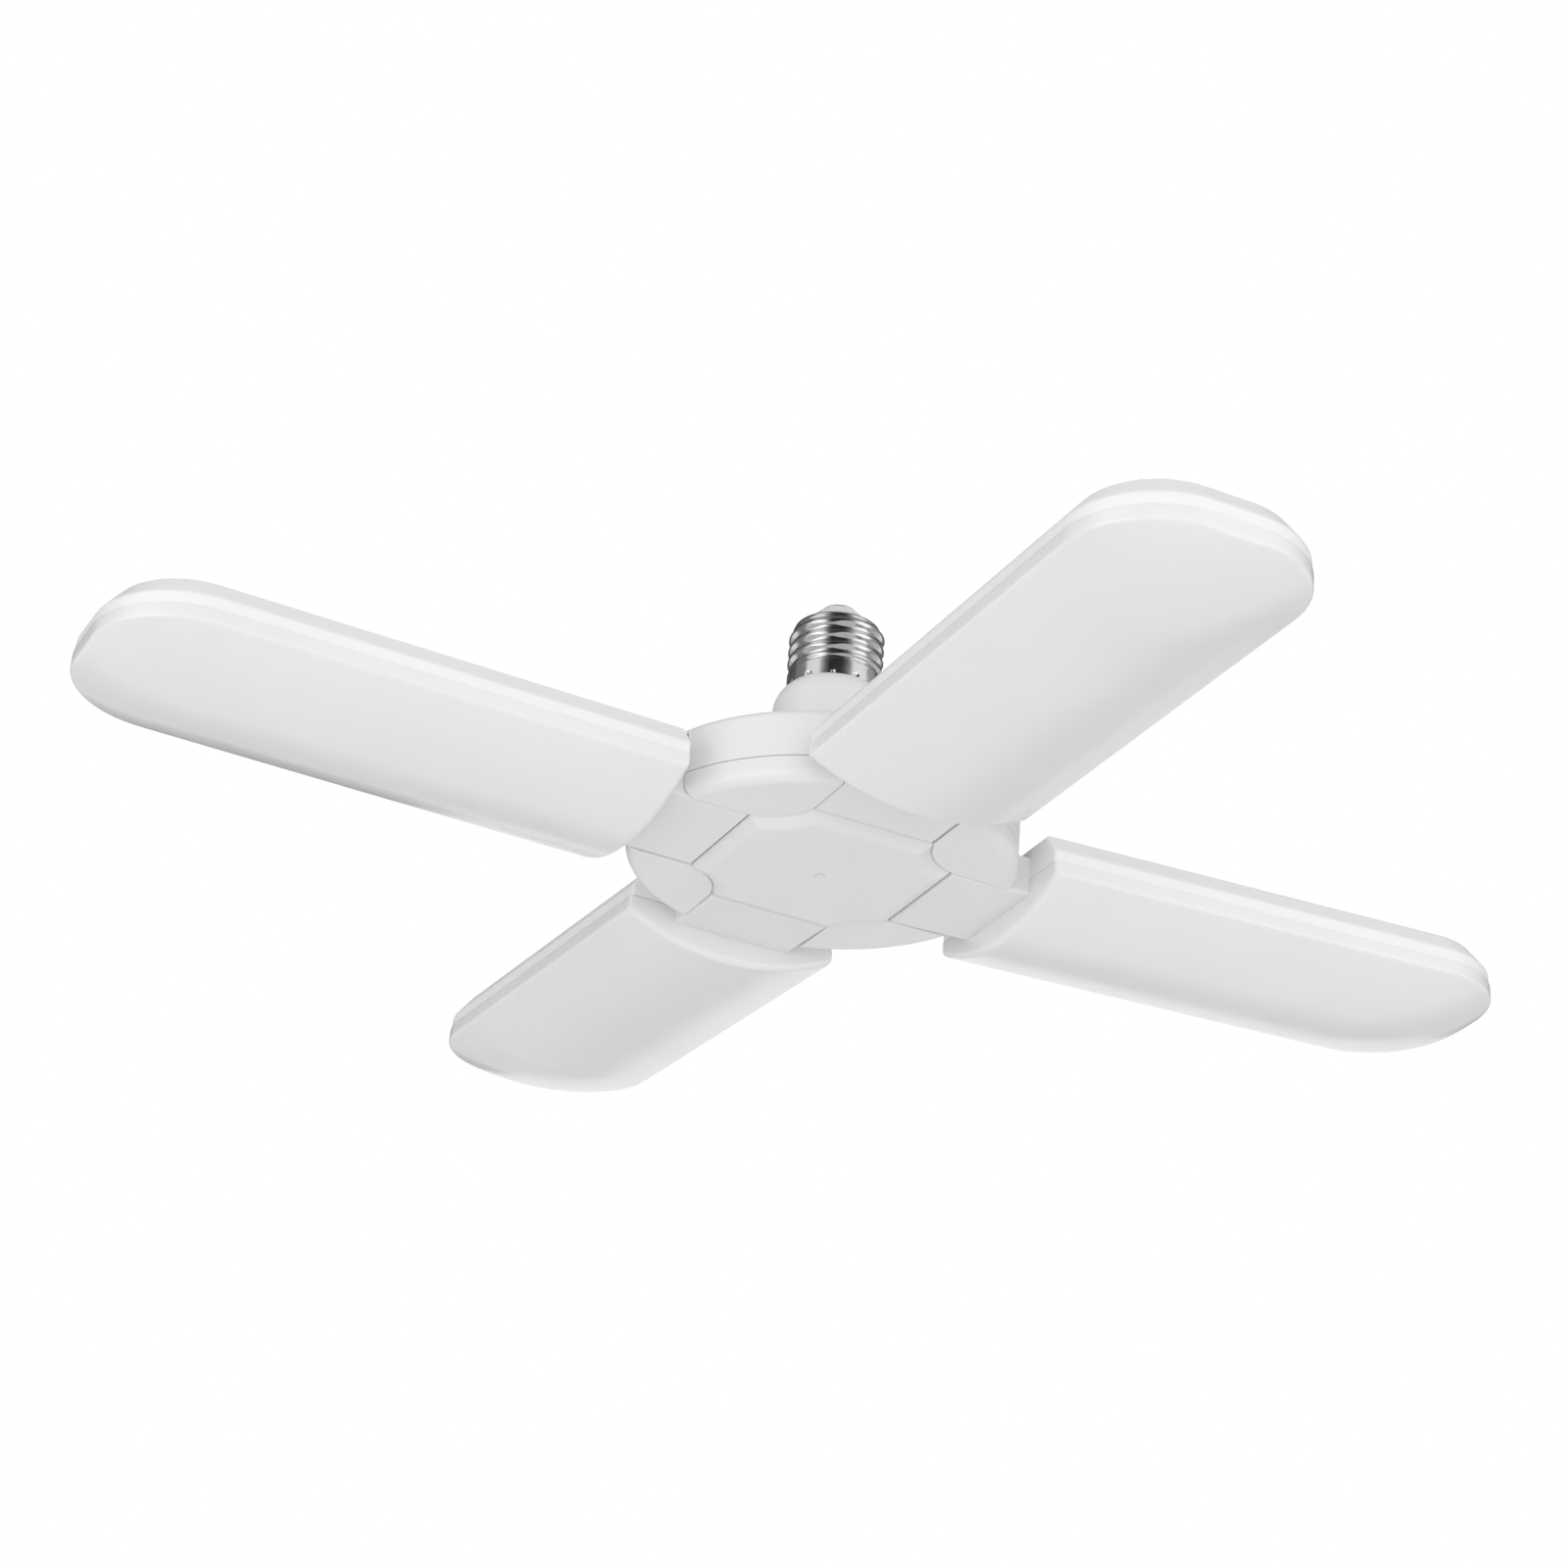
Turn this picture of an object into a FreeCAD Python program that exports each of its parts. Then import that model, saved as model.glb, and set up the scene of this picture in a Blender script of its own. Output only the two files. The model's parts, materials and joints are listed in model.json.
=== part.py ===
import FreeCAD, Part
import math
import os

# Four-blade folding garage light on an E27 screw base.
# Frame in millimetres: the origin is the face of the centre contact, on the screw axis, +Z points up
# into the lamp holder, and the blades point along +X, -X, +Y and -Y.

os.makedirs("parts", exist_ok=True)

# ---------------------------------------------------------------- screw base
crest_radius = 13.15
thread_depth = 1.1
thread_pitch = 3.629
thread_turns = 3.1
thread_start_drop = 20.6
base_height = 26.5
rim_drop = 7.2
shell_wall = 0.6
skirt_radius = 13.0
skirt_height = 5.2
rim_opening = 9.5
insulator_top_radius = 5.6
insulator_bulge = 0.8
insulator_plug = 2.8
contact_radius = 4.7
contact_thickness = 1.0
stem_radius = 1.5
stem_length = 11.2

# ---------------------------------------------------------------- hub
hub_drop = 79.5
hub_radius = 52.6
hub_wall = 2.0
parting_height = 6.6
shoulder_height = 20.8
shoulder_round = 2.4
cone_rise = 14.0
neck_radius = 16.2
neck_flare = 6.0
neck_round = 6.0
neck_bulge = 0.62
spigot_height = 4.6
floor_round = 3.4
slot_inner = 28.2
slot_wall = 1.6
slot_roof = 18.4
slot_lintel = 12.1
lobe_centre = 33.5
plate_half = 29.6
plate_proud = 2.1
plate_seat = 0.6
plate_corner_radius = 16.0
plate_edge_round = 3.6
plate_wall = 1.7
gate_mark_radius = 1.7
gate_mark_depth = 0.25
centre_floor = 2.0
screw_spacing = 16.8
hub_screw_length = 16.0
pilot_depth = 9.4
boss_radius = 3.6
latch_height = 1.1

# ---------------------------------------------------------------- driver
board_half = 25.2
board_thickness = 1.6
board_height = 9.0
first_capacitor_place = (9.0, -11.0)
second_capacitor_place = (-3.0, -13.0)
capacitor_radius = 5.0
capacitor_height = 16.0
transformer_length = 14.0
transformer_width = 13.0
transformer_height = 12.0
transformer_place = (-6.0, 9.0)
rectifier_size = (7.0, 6.0, 2.6)
rectifier_place = (13.5, 4.0)
chip_size = (5.0, 6.0, 1.6)
chip_place = (7.5, 14.0)
fuse_place = (-18.0, -2.0)
fuse_radius = 1.6
fuse_length = 8.0
live_wire_offset = -4.0
live_wire_straight = 26.0
live_wire_jog = 12.0
neutral_wire_offset = 8.6
connector_length = 8.0
connector_width = 9.0
connector_height = 3.6
wire_radius = 0.8
wire_spacing = 2.5

# ---------------------------------------------------------------- hinges
pivot_radius = 41.0
pin_radius = 2.0
pin_inner = 9.0
arm_half_width = 17.6
slot_side_clearance = 0.35
slot_half_width = arm_half_width + slot_side_clearance
pin_outer = slot_half_width + slot_wall - 0.1
arm_thickness = 11.0
arm_inner = 30.0
arm_length = 38.0
arm_edge_round = 1.0
arm_nose_round = 4.0
channel_half_width = 6.0
channel_floor = 2.0
washer_radius = 4.6
washer_thickness = 1.0
washer_recess = 0.8

# ---------------------------------------------------------------- blades
blade_gap = 1.4
blade_root = hub_radius + blade_gap
blade_tip = 206.5
blade_half_width = 31.1
blade_top = 14.5
chamfer_bottom = 8.1
chamfer_inset = 4.9
blade_seam = 4.7
blade_wall = 2.0
tip_corner = 25.0
root_corner = 0.8
rib_pitch = 4.85
rib_height = 0.7
rib_width = 1.3
rib_count = 9
rib_margin = 4.0
diffuser_overhang = 0.4
diffuser_edge = 0.75
diffuser_depth = 7.9
diffuser_wall = 1.6
diffuser_ledge = 1.5
arch_fall_length = 37.4
arch_fall_start = 1.6
arch_fall_end = 0.675
lip_height = 2.2
lip_wall = 1.2
led_board_root_gap = 18.0
led_board_start = blade_root + led_board_root_gap
led_board_half_width = 23.0
led_board_thickness = 1.2
led_board_height = 6.0
led_board_end_gap = 12.0
led_length = 3.5
led_width = 2.8
led_height = 0.7
led_rows = 3
led_row_spacing = 15.0
led_columns = 8
led_column_pitch = 14.0
arm_screw_offset = 0.5
arm_screw_half_spacing = 12.0
board_screw_half_spacing = 7.5
board_screw_inset = 17.5
board_screw_length = 5.2
post_radius = 3.0

# ---------------------------------------------------------------- screws and clearances
screw_radius = 1.5
screw_head_radius = 2.8
screw_head_height = 1.8
small_screw_radius = 1.25
small_head_radius = 2.3
small_head_height = 1.4
seat_clearance = 0.03
fit_clearance = 0.15
running_clearance = 0.05
plate_clearance = 0.3

# Upward tilt of each blade in the rest pose, in degrees above horizontal
tilt_right = 2.3
tilt_rear = 3.8
tilt_left = 0.7
tilt_front = -0.4

# ---------------------------------------------------------------- derived places
floor = -hub_drop
parting = floor + parting_height
shell_end = -base_height
core_radius = crest_radius - thread_depth
shell_bore = core_radius - shell_wall
skirt_bore = skirt_radius - shell_wall
board_bottom = floor + board_height
board_top = board_bottom + board_thickness
centre_floor_bottom = floor + plate_seat
centre_floor_top = centre_floor_bottom + centre_floor
screw_seat = centre_floor_bottom + screw_head_height
well_half = slot_inner - slot_wall
diffuser_half_width = blade_half_width + diffuser_overhang
led_board_end = blade_tip - led_board_end_gap
origin = FreeCAD.Vector(0, 0, 0)
up = FreeCAD.Vector(0, 0, 1)


def vec(x, y, z):
    return FreeCAD.Vector(x, y, z)


def box(x0, x1, y0, y1, z0, z1):
    """A block between two opposite corners."""
    return Part.makeBox(x1 - x0, y1 - y0, z1 - z0, vec(x0, y0, z0))


def rod(radius, start, end):
    """A round bar between two points."""
    direction = end.sub(start)
    return Part.makeCylinder(radius, direction.Length, start, direction)


def line(a, b):
    return Part.LineSegment(a, b).toShape()


def arc(a, middle, b):
    return Part.Arc(a, middle, b).toShape()


def revolved(points):
    """Turn a closed profile about the screw axis.

    Each entry is (radius, z); a third value is the bulge of an arc that leads to that point, as the
    distance of the arc's middle from the chord, positive to the right of the direction of travel.
    """
    edges = []
    previous = points[-1]
    for point in points:
        a = vec(previous[0], 0, previous[1])
        b = vec(point[0], 0, point[1])
        if len(point) == 3:
            chord = b.sub(a)
            side = vec(chord.z, 0, -chord.x).multiply(point[2] / chord.Length)
            middle = a.add(b).multiply(0.5).add(side)
            edges.append(arc(a, middle, b))
        else:
            edges.append(line(a, b))
        previous = point
    face = Part.Face(Part.Wire(edges))
    return face.revolve(origin, up, 360)


def bent_wire(points, bend, radius):
    """A round wire through the points, with straight runs joined by tangent arcs of one radius."""
    edges = []
    start = points[0]
    for corner, following in zip(points[1:-1], points[2:]):
        before = corner.sub(start).normalize()
        after = following.sub(corner).normalize()
        turn = before.getAngle(after)
        setback = bend * math.tan(turn / 2)
        a = corner.sub(vec(*before).multiply(setback))
        b = corner.add(vec(*after).multiply(setback))
        inward = vec(*after).sub(before).normalize()
        reach = bend / math.cos(turn / 2) - bend
        middle = corner.add(inward.multiply(reach))
        edges.append(line(start, a))
        edges.append(arc(a, middle, b))
        start = b
    edges.append(line(start, points[-1]))
    path = Part.Wire(edges)
    first = points[1].sub(points[0])
    section = Part.Wire(Part.Circle(points[0], first, radius).toShape())
    return path.makePipeShell([section], True, False)


def quarter_turns(shape):
    """The shape and its three copies at quarter turns about the screw axis."""
    copies = []
    for quarter in range(4):
        copy = shape.copy()
        copy.rotate(origin, up, 90 * quarter)
        copies.append(copy)
    return copies


def fused(shapes):
    return shapes[0].multiFuse(shapes[1:]).removeSplitter()


def screw(radius, head_radius, head_height, x, y, seat, length):
    """A pan-head screw driven upwards, with its head below the seat."""
    head = rod(head_radius, vec(x, y, seat - head_height), vec(x, y, seat))
    shank = rod(radius, vec(x, y, seat - head_height / 2), vec(x, y, seat + length))
    cross = head_radius * 0.55
    recess_z = seat - head_height
    slot_a = box(x - cross, x + cross, y - 0.3, y + 0.3, recess_z - 0.1, recess_z + 0.8)
    slot_b = box(x - 0.3, x + 0.3, y - cross, y + cross, recess_z - 0.1, recess_z + 0.8)
    return head.fuse(shank).cut(slot_a).cut(slot_b)


def save(name, shape):
    """Write one piece, or one group of like pieces, as its own node."""
    shape.exportStep("parts/" + name + ".step")
    print(name, "solids", len(shape.Solids), "volume", round(shape.Volume, 1))


# ================================================================ screw base
def make_screw_shell():
    """A pressed shell with a rounded thread of three turns, a plain skirt and a rolled rim."""
    top = -rim_drop
    thread_zone = shell_end + skirt_height
    rim_round = 1.0
    outer = revolved([
        (0, shell_end),
        (skirt_radius, shell_end),
        (skirt_radius, thread_zone),
        (core_radius, thread_zone + 0.6),
        (core_radius, top - rim_round),
        (core_radius - rim_round, top, 0.3),
        (0, top),
    ])
    crest = 1.15
    helix = Part.makeHelix(thread_pitch, thread_pitch * thread_turns, crest_radius - crest)
    section = Part.Wire(Part.Circle(vec(crest_radius - crest, 0, 0), vec(0, 1, 0), crest).toShape())
    ridge = Part.Wire(helix.Edges).makePipeShell([section], True, True)
    ridge.translate(vec(0, 0, -thread_start_drop + crest))
    bore = revolved([
        (0, shell_end - 1),
        (skirt_bore, shell_end - 1),
        (skirt_bore, thread_zone - shell_wall),
        (shell_bore, thread_zone),
        (shell_bore, top - shell_wall),
        (rim_opening, top - shell_wall),
        (rim_opening, top + 1),
        (0, top + 1),
    ])
    return outer.fuse(ridge).cut(bore)


def make_base_insulator():
    """The insulating cone that closes the shell and carries the centre contact."""
    top = -contact_thickness
    flange_top = -rim_drop - shell_wall - seat_clearance
    plug_radius = shell_bore - seat_clearance
    neck = rim_opening - seat_clearance
    body = revolved([
        (0, flange_top - insulator_plug),
        (plug_radius, flange_top - insulator_plug),
        (plug_radius, flange_top),
        (neck, flange_top),
        (neck, -rim_drop + 0.2),
        (insulator_top_radius, top - 0.5, insulator_bulge),
        (insulator_top_radius - 0.5, top, 0.14),
        (0, top),
    ])
    hole = rod(stem_radius + seat_clearance, vec(0, 0, -stem_length - 5), vec(0, 0, 0))
    return body.cut(hole)


def make_centre_contact():
    """A round contact button with the stem that the live wire is soldered to."""
    button = revolved([
        (0, -contact_thickness),
        (contact_radius, -contact_thickness),
        (contact_radius, -0.5),
        (contact_radius - 0.5, 0, 0.14),
        (0, 0),
    ])
    stem = rod(stem_radius, vec(0, 0, -stem_length), vec(0, 0, -contact_thickness / 2))
    return button.fuse(stem)


# ================================================================ hub
def hub_profile(inset):
    """The top cover's outline from the parting plane to the neck, drawn in by a wall thickness.

    The shoulder is an arc on the outside and a plain bevel on the inside.
    """
    shoulder = floor + shoulder_height
    slope = math.atan2(cone_rise, hub_radius - shoulder_round - neck_radius - neck_flare)
    drop = inset / math.cos(slope)
    cone_top = shoulder + cone_rise
    corner = (hub_radius - shoulder_round, shoulder - drop)
    if inset == 0:
        corner += (0.2 * shoulder_round,)
    points = [
        (0, parting),
        (hub_radius - inset, parting),
        (hub_radius - inset, shoulder - shoulder_round),
        corner,
        (neck_radius + neck_flare, cone_top - drop),
        (neck_radius - inset, cone_top + neck_flare - drop, -1.2),
    ]
    return points


def slot_box(grow, inner, top):
    """The space of one hinge slot on the +X side, widened by a wall where asked."""
    half = slot_half_width + grow
    return box(inner, hub_radius + 5, -half, half, floor - 5, top)


def slot_spaces():
    """The open space of the four slots: high inside, lower under the hub wall's lintel."""
    inside = box(slot_inner, hub_radius - hub_wall, -slot_half_width, slot_half_width,
                 floor - 5, floor + slot_roof)
    mouth = slot_box(0, slot_inner, floor + slot_lintel)
    window = box(well_half - 1, slot_inner + 1, -wire_spacing - 1.7, wire_spacing + 1.7,
                 board_bottom - connector_height - 0.2, board_bottom - 0.3)
    return quarter_turns(inside.fuse(mouth).fuse(window))


def pin_bores(radius):
    """The seats of the hinge pins, which lie on the parting plane."""
    reach = pin_outer + seat_clearance
    bore = rod(radius, vec(pivot_radius, -reach, parting), vec(pivot_radius, reach, parting))
    return quarter_turns(bore)


def screw_places():
    places = []
    for x in (-screw_spacing, screw_spacing):
        for y in (-screw_spacing, screw_spacing):
            places.append((x, y))
    return places


def make_top_cover():
    """The upper shell: round wall, shallow cone, bell neck, and a roofed pocket for each hinge."""
    outer_points = hub_profile(0)
    outer_points += [
        (neck_radius, shell_end - neck_round),
        (skirt_radius + 0.05, shell_end, neck_bulge),
        (skirt_bore - running_clearance, shell_end),
        (skirt_bore - running_clearance, shell_end + spigot_height),
        (0, shell_end + spigot_height),
    ]
    inner_points = hub_profile(hub_wall)
    inner_points[0] = (0, parting - 1)
    inner_points.insert(1, (hub_radius - hub_wall, parting - 1))
    spigot_bore = skirt_bore - running_clearance - hub_wall
    inner_points += [
        (neck_radius - hub_wall, shell_end - neck_round),
        (spigot_bore, shell_end - hub_wall),
        (spigot_bore, shell_end + spigot_height + 1),
        (0, shell_end + spigot_height + 1),
    ]
    outer = revolved(outer_points)
    cavity = revolved(inner_points)
    pocket = slot_box(slot_wall, well_half, floor + slot_roof + slot_wall)
    for space in quarter_turns(pocket):
        cavity = cavity.cut(space)
    bosses = []
    pilots = []
    for x, y in screw_places():
        bosses.append(rod(boss_radius, vec(x, y, board_top), vec(x, y, shell_end)))
        pilots.append(rod(screw_radius + seat_clearance, vec(x, y, parting), vec(x, y, board_top + pilot_depth)))
    pillars = outer.common(bosses[0].multiFuse(bosses[1:]))
    cover = outer.cut(cavity).fuse(pillars)
    cover = cover.cut(slot_spaces() + pilots + pin_bores(pin_radius + seat_clearance))
    return cover.removeSplitter()


def plate_outline(grow, z0, z1):
    """The plate's shape: a square whose corners are hollowed by arcs round the four lobes."""
    half = plate_half + grow
    block = box(-half, half, -half, half, z0, z1)
    corner = rod(plate_corner_radius - grow, vec(lobe_centre, lobe_centre, z0 - 1),
                 vec(lobe_centre, lobe_centre, z1 + 1))
    return block.cut(quarter_turns(corner))


def make_bottom_cover():
    """The lower shell: four lobes between the slots and a raised floor over the plate."""
    edge = floor_round
    outer = revolved([
        (0, floor),
        (hub_radius - edge, floor),
        (hub_radius, floor + edge, 0.293 * edge),
        (hub_radius, parting),
        (0, parting),
    ])
    recess = plate_outline(plate_clearance, floor - 1, centre_floor_bottom)
    cavity = revolved([
        (0, floor + hub_wall),
        (hub_radius - edge, floor + hub_wall),
        (hub_radius - hub_wall, floor + edge),
        (hub_radius - hub_wall, parting + 1),
        (0, parting + 1),
    ])
    kept = quarter_turns(slot_box(slot_wall, well_half, parting + 2))
    kept.append(plate_outline(plate_clearance + slot_wall, floor - 1, centre_floor_top))
    cavity = cavity.cut(kept)
    cover = outer.cut([recess, cavity])
    pillars = []
    holes = []
    for x, y in screw_places():
        pillars.append(rod(boss_radius, vec(x, y, centre_floor_bottom), vec(x, y, board_bottom)))
        holes.append(rod(screw_radius + fit_clearance, vec(x, y, floor), vec(x, y, board_top)))
        holes.append(rod(screw_head_radius + fit_clearance, vec(x, y, floor), vec(x, y, screw_seat)))
    cover = fused([cover] + pillars)
    latch_holes = quarter_turns(box(well_half - 5.2, well_half - 2.4, -4.3, 4.3, floor, parting - 1))
    cuts = slot_spaces() + holes + latch_holes + pin_bores(pin_radius + seat_clearance)
    return cover.cut(cuts).removeSplitter()


def make_centre_plate():
    """The snap-on plate under the hub, with a rounded edge, four latches and a gate mark."""
    face = floor - plate_proud
    block = plate_outline(0, face, face + plate_edge_round + 1)
    rim = [edge for edge in block.Edges if edge.BoundBox.ZMax < face + 0.01]
    block = block.makeFillet(plate_edge_round, rim)
    half = plate_half + 1
    block = block.common(box(-half, half, -half, half, face - 1, centre_floor_bottom))
    inset = plate_edge_round + 0.6
    hollow = plate_outline(-inset, face + plate_wall, centre_floor_bottom + 1)
    shell = block.cut(hollow)
    latch_top = centre_floor_top + latch_height
    latch = box(well_half - 5.0, well_half - 3.6, -4, 4, face + plate_wall / 2, latch_top)
    hook = box(well_half - 5.0, well_half - 2.8, -4, 4, centre_floor_top + 0.1, latch_top)
    shell = fused([shell] + quarter_turns(latch) + quarter_turns(hook))
    mark = rod(gate_mark_radius, vec(0, 0, face - 1), vec(0, 0, face + gate_mark_depth))
    nub = rod(0.5, vec(0, 0, face), vec(0, 0, face + 1))
    return shell.cut(mark).fuse(nub)


# ================================================================ driver
def make_driver_board():
    """The square board clamped between the two covers' bosses."""
    board = box(-board_half, board_half, -board_half, board_half, board_bottom, board_top)
    cuts = []
    for x, y in screw_places():
        cuts.append(rod(screw_radius + fit_clearance, vec(x, y, floor), vec(x, y, parting + 20)))
    latch_notch = box(well_half - 5.6, well_half, -5, 5, board_bottom - 1, board_bottom)
    return board.cut(cuts + quarter_turns(latch_notch))


def upright_can(place):
    """A capacitor can standing on the board, with the rolled groove near its foot."""
    x, y = place
    can = rod(capacitor_radius, vec(x, y, board_top), vec(x, y, board_top + capacitor_height))
    groove = rod(capacitor_radius + 1, vec(x, y, board_top + 2), vec(x, y, board_top + 2.8))
    core = rod(capacitor_radius - 0.4, vec(x, y, board_top), vec(x, y, board_top + 4))
    return can.cut(groove.cut(core))


def make_capacitors():
    cans = [upright_can(first_capacitor_place), upright_can(second_capacitor_place)]
    return Part.makeCompound(cans)


def block_on_board(place, length, width, bottom, top):
    """A block centred over a place on the board."""
    x, y = place
    return box(x - length / 2, x + length / 2, y - width / 2, y + width / 2, bottom, top)


def make_transformer():
    """A wound ferrite core: an upright block with its winding standing out on two sides."""
    top = board_top + transformer_height
    core = block_on_board(transformer_place, transformer_length, transformer_width, board_top, top)
    winding = block_on_board(transformer_place, transformer_length - 6, transformer_width + 3,
                             board_top + 2, top - 2)
    return core.fuse(winding)


def make_rectifier():
    length, width, height = rectifier_size
    return block_on_board(rectifier_place, length, width, board_top, board_top + height)


def make_driver_chip():
    length, width, height = chip_size
    return block_on_board(chip_place, length, width, board_top, board_top + height)


def make_fuse_resistor():
    """The fuse between the live wire and the board, lying on two short legs."""
    x, y = fuse_place
    z = board_top + fuse_radius + 0.6
    body = rod(fuse_radius, vec(x, y - fuse_length / 2, z), vec(x, y + fuse_length / 2, z))
    legs = []
    for side in (-1, 1):
        leg_y = y + side * (fuse_length / 2 - 0.8)
        legs.append(rod(0.4, vec(x, leg_y, board_top), vec(x, leg_y, z)))
    return fused([body] + legs)


def make_lead_connectors():
    """One plug-in terminal under each edge of the board, with two wire holes."""
    outer = board_half - 0.6
    block = box(outer - connector_length, outer, -connector_width / 2, connector_width / 2,
                board_bottom - connector_height, board_bottom)
    wire_z = board_bottom - connector_height / 2
    holes = []
    for y in (-wire_spacing, wire_spacing):
        holes.append(rod(wire_radius + running_clearance, vec(outer - 4, y, wire_z), vec(outer + 1, y, wire_z)))
    return Part.makeCompound(quarter_turns(block.cut(holes)))


def make_feed_leads():
    """The pairs of leads from the terminals through the slot windows."""
    wire_z = board_bottom - connector_height / 2
    start = board_half - 4.4
    leads = []
    for y in (-wire_spacing, wire_spacing):
        lead = rod(wire_radius, vec(start, y, wire_z), vec(slot_inner, y, wire_z))
        leads += quarter_turns(lead)
    return Part.makeCompound(leads)


def make_live_wire():
    """From the contact's stem down the neck to the board."""
    top = -stem_length
    low_x = live_wire_offset
    bend_start = top - live_wire_straight
    points = [vec(0, 0, top), vec(0, 0, bend_start), vec(low_x, 0, bend_start - live_wire_jog),
              vec(low_x, 0, board_top)]
    return bent_wire(points, 8.0, wire_radius)


def make_neutral_wire():
    """From the inside of the screw shell down the neck to the board."""
    top_x = shell_bore - wire_radius - running_clearance
    low_x = neutral_wire_offset
    start = shell_end + spigot_height + 4.2
    points = [vec(top_x, 0, start), vec(top_x, 0, start - 1.6), vec(low_x, 0, start - 5.6),
              vec(low_x, 0, board_top)]
    return bent_wire(points, 2.4, wire_radius)


# ================================================================ hinges
def make_hinge_pins():
    """Two stub pins per hinge, held in the covers and reaching into the arm."""
    pins = []
    for side in (-1, 1):
        pin = rod(pin_radius, vec(pivot_radius, side * pin_inner, parting),
                  vec(pivot_radius, side * pin_outer, parting))
        pins += quarter_turns(pin)
    return Part.makeCompound(pins)


def make_friction_washers():
    """Spring washers between each arm and the slot walls; they hold the blade where it is set."""
    washers = []
    outer = slot_half_width - running_clearance
    for side in (-1, 1):
        near = vec(pivot_radius, side * outer, parting)
        far = vec(pivot_radius, side * (outer - washer_thickness), parting)
        disc = rod(washer_radius, near, far)
        hole = rod(pin_radius + running_clearance, vec(pivot_radius, -outer - 1, parting),
                   vec(pivot_radius, outer + 1, parting))
        washers += quarter_turns(disc.cut(hole))
    return Part.makeCompound(washers)


def make_hub_screws():
    screws = []
    for x, y in screw_places():
        screws.append(screw(screw_radius, screw_head_radius, screw_head_height, x, y,
                            screw_seat, hub_screw_length))
    return Part.makeCompound(screws)


# ================================================================ blades
def blade_plan(inset, root, z):
    """The blade's outline at one height: straight sides, two round tip corners, small root corners."""
    half = blade_half_width - inset
    tip = blade_tip - inset
    tip_radius = tip_corner - inset
    root_radius = root_corner
    lean = 1 - math.sqrt(0.5)
    edges = []
    corners = [
        (root, -half, root_radius, 1, 1),
        (tip, -half, tip_radius, -1, 1),
        (tip, half, tip_radius, -1, -1),
        (root, half, root_radius, 1, -1),
    ]
    ends = []
    for x, y, radius, along, across in corners:
        on_side = vec(x + along * radius, y, z)
        on_end = vec(x, y + across * radius, z)
        middle = vec(x + along * radius * lean, y + across * radius * lean, z)
        ends.append((on_end, middle, on_side))
    edges.append(arc(ends[0][0], ends[0][1], ends[0][2]))
    edges.append(line(ends[0][2], ends[1][2]))
    edges.append(arc(ends[1][2], ends[1][1], ends[1][0]))
    edges.append(line(ends[1][0], ends[2][0]))
    edges.append(arc(ends[2][0], ends[2][1], ends[2][2]))
    edges.append(line(ends[2][2], ends[3][2]))
    edges.append(arc(ends[3][2], ends[3][1], ends[3][0]))
    edges.append(line(ends[3][0], ends[0][0]))
    return Part.Wire(edges)


def blade_prism(inset, root, z0, z1):
    """The blade's outline as an upright block."""
    return Part.Face(blade_plan(inset, root, z0)).extrude(vec(0, 0, z1 - z0))


def arm_space(clearance):
    """The space that the hinge arm takes up, with a clearance round it."""
    return box(arm_inner - 5, arm_inner + arm_length + clearance,
               -arm_half_width - clearance, arm_half_width + clearance,
               floor - clearance, floor + arm_thickness + clearance)


def arm_screw_places():
    """Near the middle of the arm's length inside the blade."""
    x = (blade_root + blade_wall + arm_inner + arm_length) / 2 - arm_screw_offset
    return [(x, -arm_screw_half_spacing), (x, arm_screw_half_spacing)]


def board_screw_places():
    places = []
    for x in (led_board_start + board_screw_inset, led_board_end - board_screw_inset):
        for y in (-board_screw_half_spacing, board_screw_half_spacing):
            places.append((x, y))
    return places


def make_blade_back():
    """The back shell: a shallow tray with sloped edges, fine ribs on top and posts inside."""
    top = floor + blade_top
    break_z = floor + chamfer_bottom
    ceiling = top - blade_wall
    lower = blade_prism(0, blade_root, floor + blade_seam, break_z)
    upper = Part.makeLoft([blade_plan(0, blade_root, break_z),
                           blade_plan(chamfer_inset, blade_root, top)], True, True)
    inner_root = blade_root + blade_wall
    lower_space = blade_prism(blade_wall, inner_root, floor + blade_seam - 1, break_z - 1)
    upper_space = Part.makeLoft([blade_plan(blade_wall, inner_root, break_z - 1),
                                 blade_plan(chamfer_inset + blade_wall, inner_root, ceiling)],
                                True, True)
    shell = lower.fuse(upper).cut([lower_space, upper_space])
    ribs = []
    rib_end = blade_tip - chamfer_inset - rib_margin
    outline = blade_prism(chamfer_inset + 0.6, blade_root + rib_margin, top - 0.5, top + rib_height)
    for index in range(rib_count):
        y = (index - (rib_count - 1) / 2) * rib_pitch
        rib = box(blade_root, rib_end + rib_margin, y - rib_width / 2, y + rib_width / 2,
                  top - 0.5, top + rib_height)
        ribs.append(rib.common(outline))
    posts = []
    pilots = []
    board_seat = floor + led_board_height + led_board_thickness
    for x, y in board_screw_places():
        posts.append(rod(post_radius, vec(x, y, board_seat), vec(x, y, ceiling + 0.5)))
        pilots.append(rod(small_screw_radius + seat_clearance, vec(x, y, floor), vec(x, y, ceiling)))
    arm_seat = floor + arm_thickness
    for x, y in arm_screw_places():
        posts.append(rod(post_radius + 1, vec(x, y, arm_seat), vec(x, y, ceiling + 0.5)))
        pilots.append(rod(screw_radius + seat_clearance, vec(x, y, floor), vec(x, y, top - 0.8)))
    shell = fused([shell] + ribs + posts)
    behind_wall = box(blade_root + blade_wall + 1, blade_tip, -blade_half_width, blade_half_width,
                      -hub_drop * 2, 0)
    return shell.cut([arm_space(fit_clearance).cut(behind_wall)] + pilots)


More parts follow.
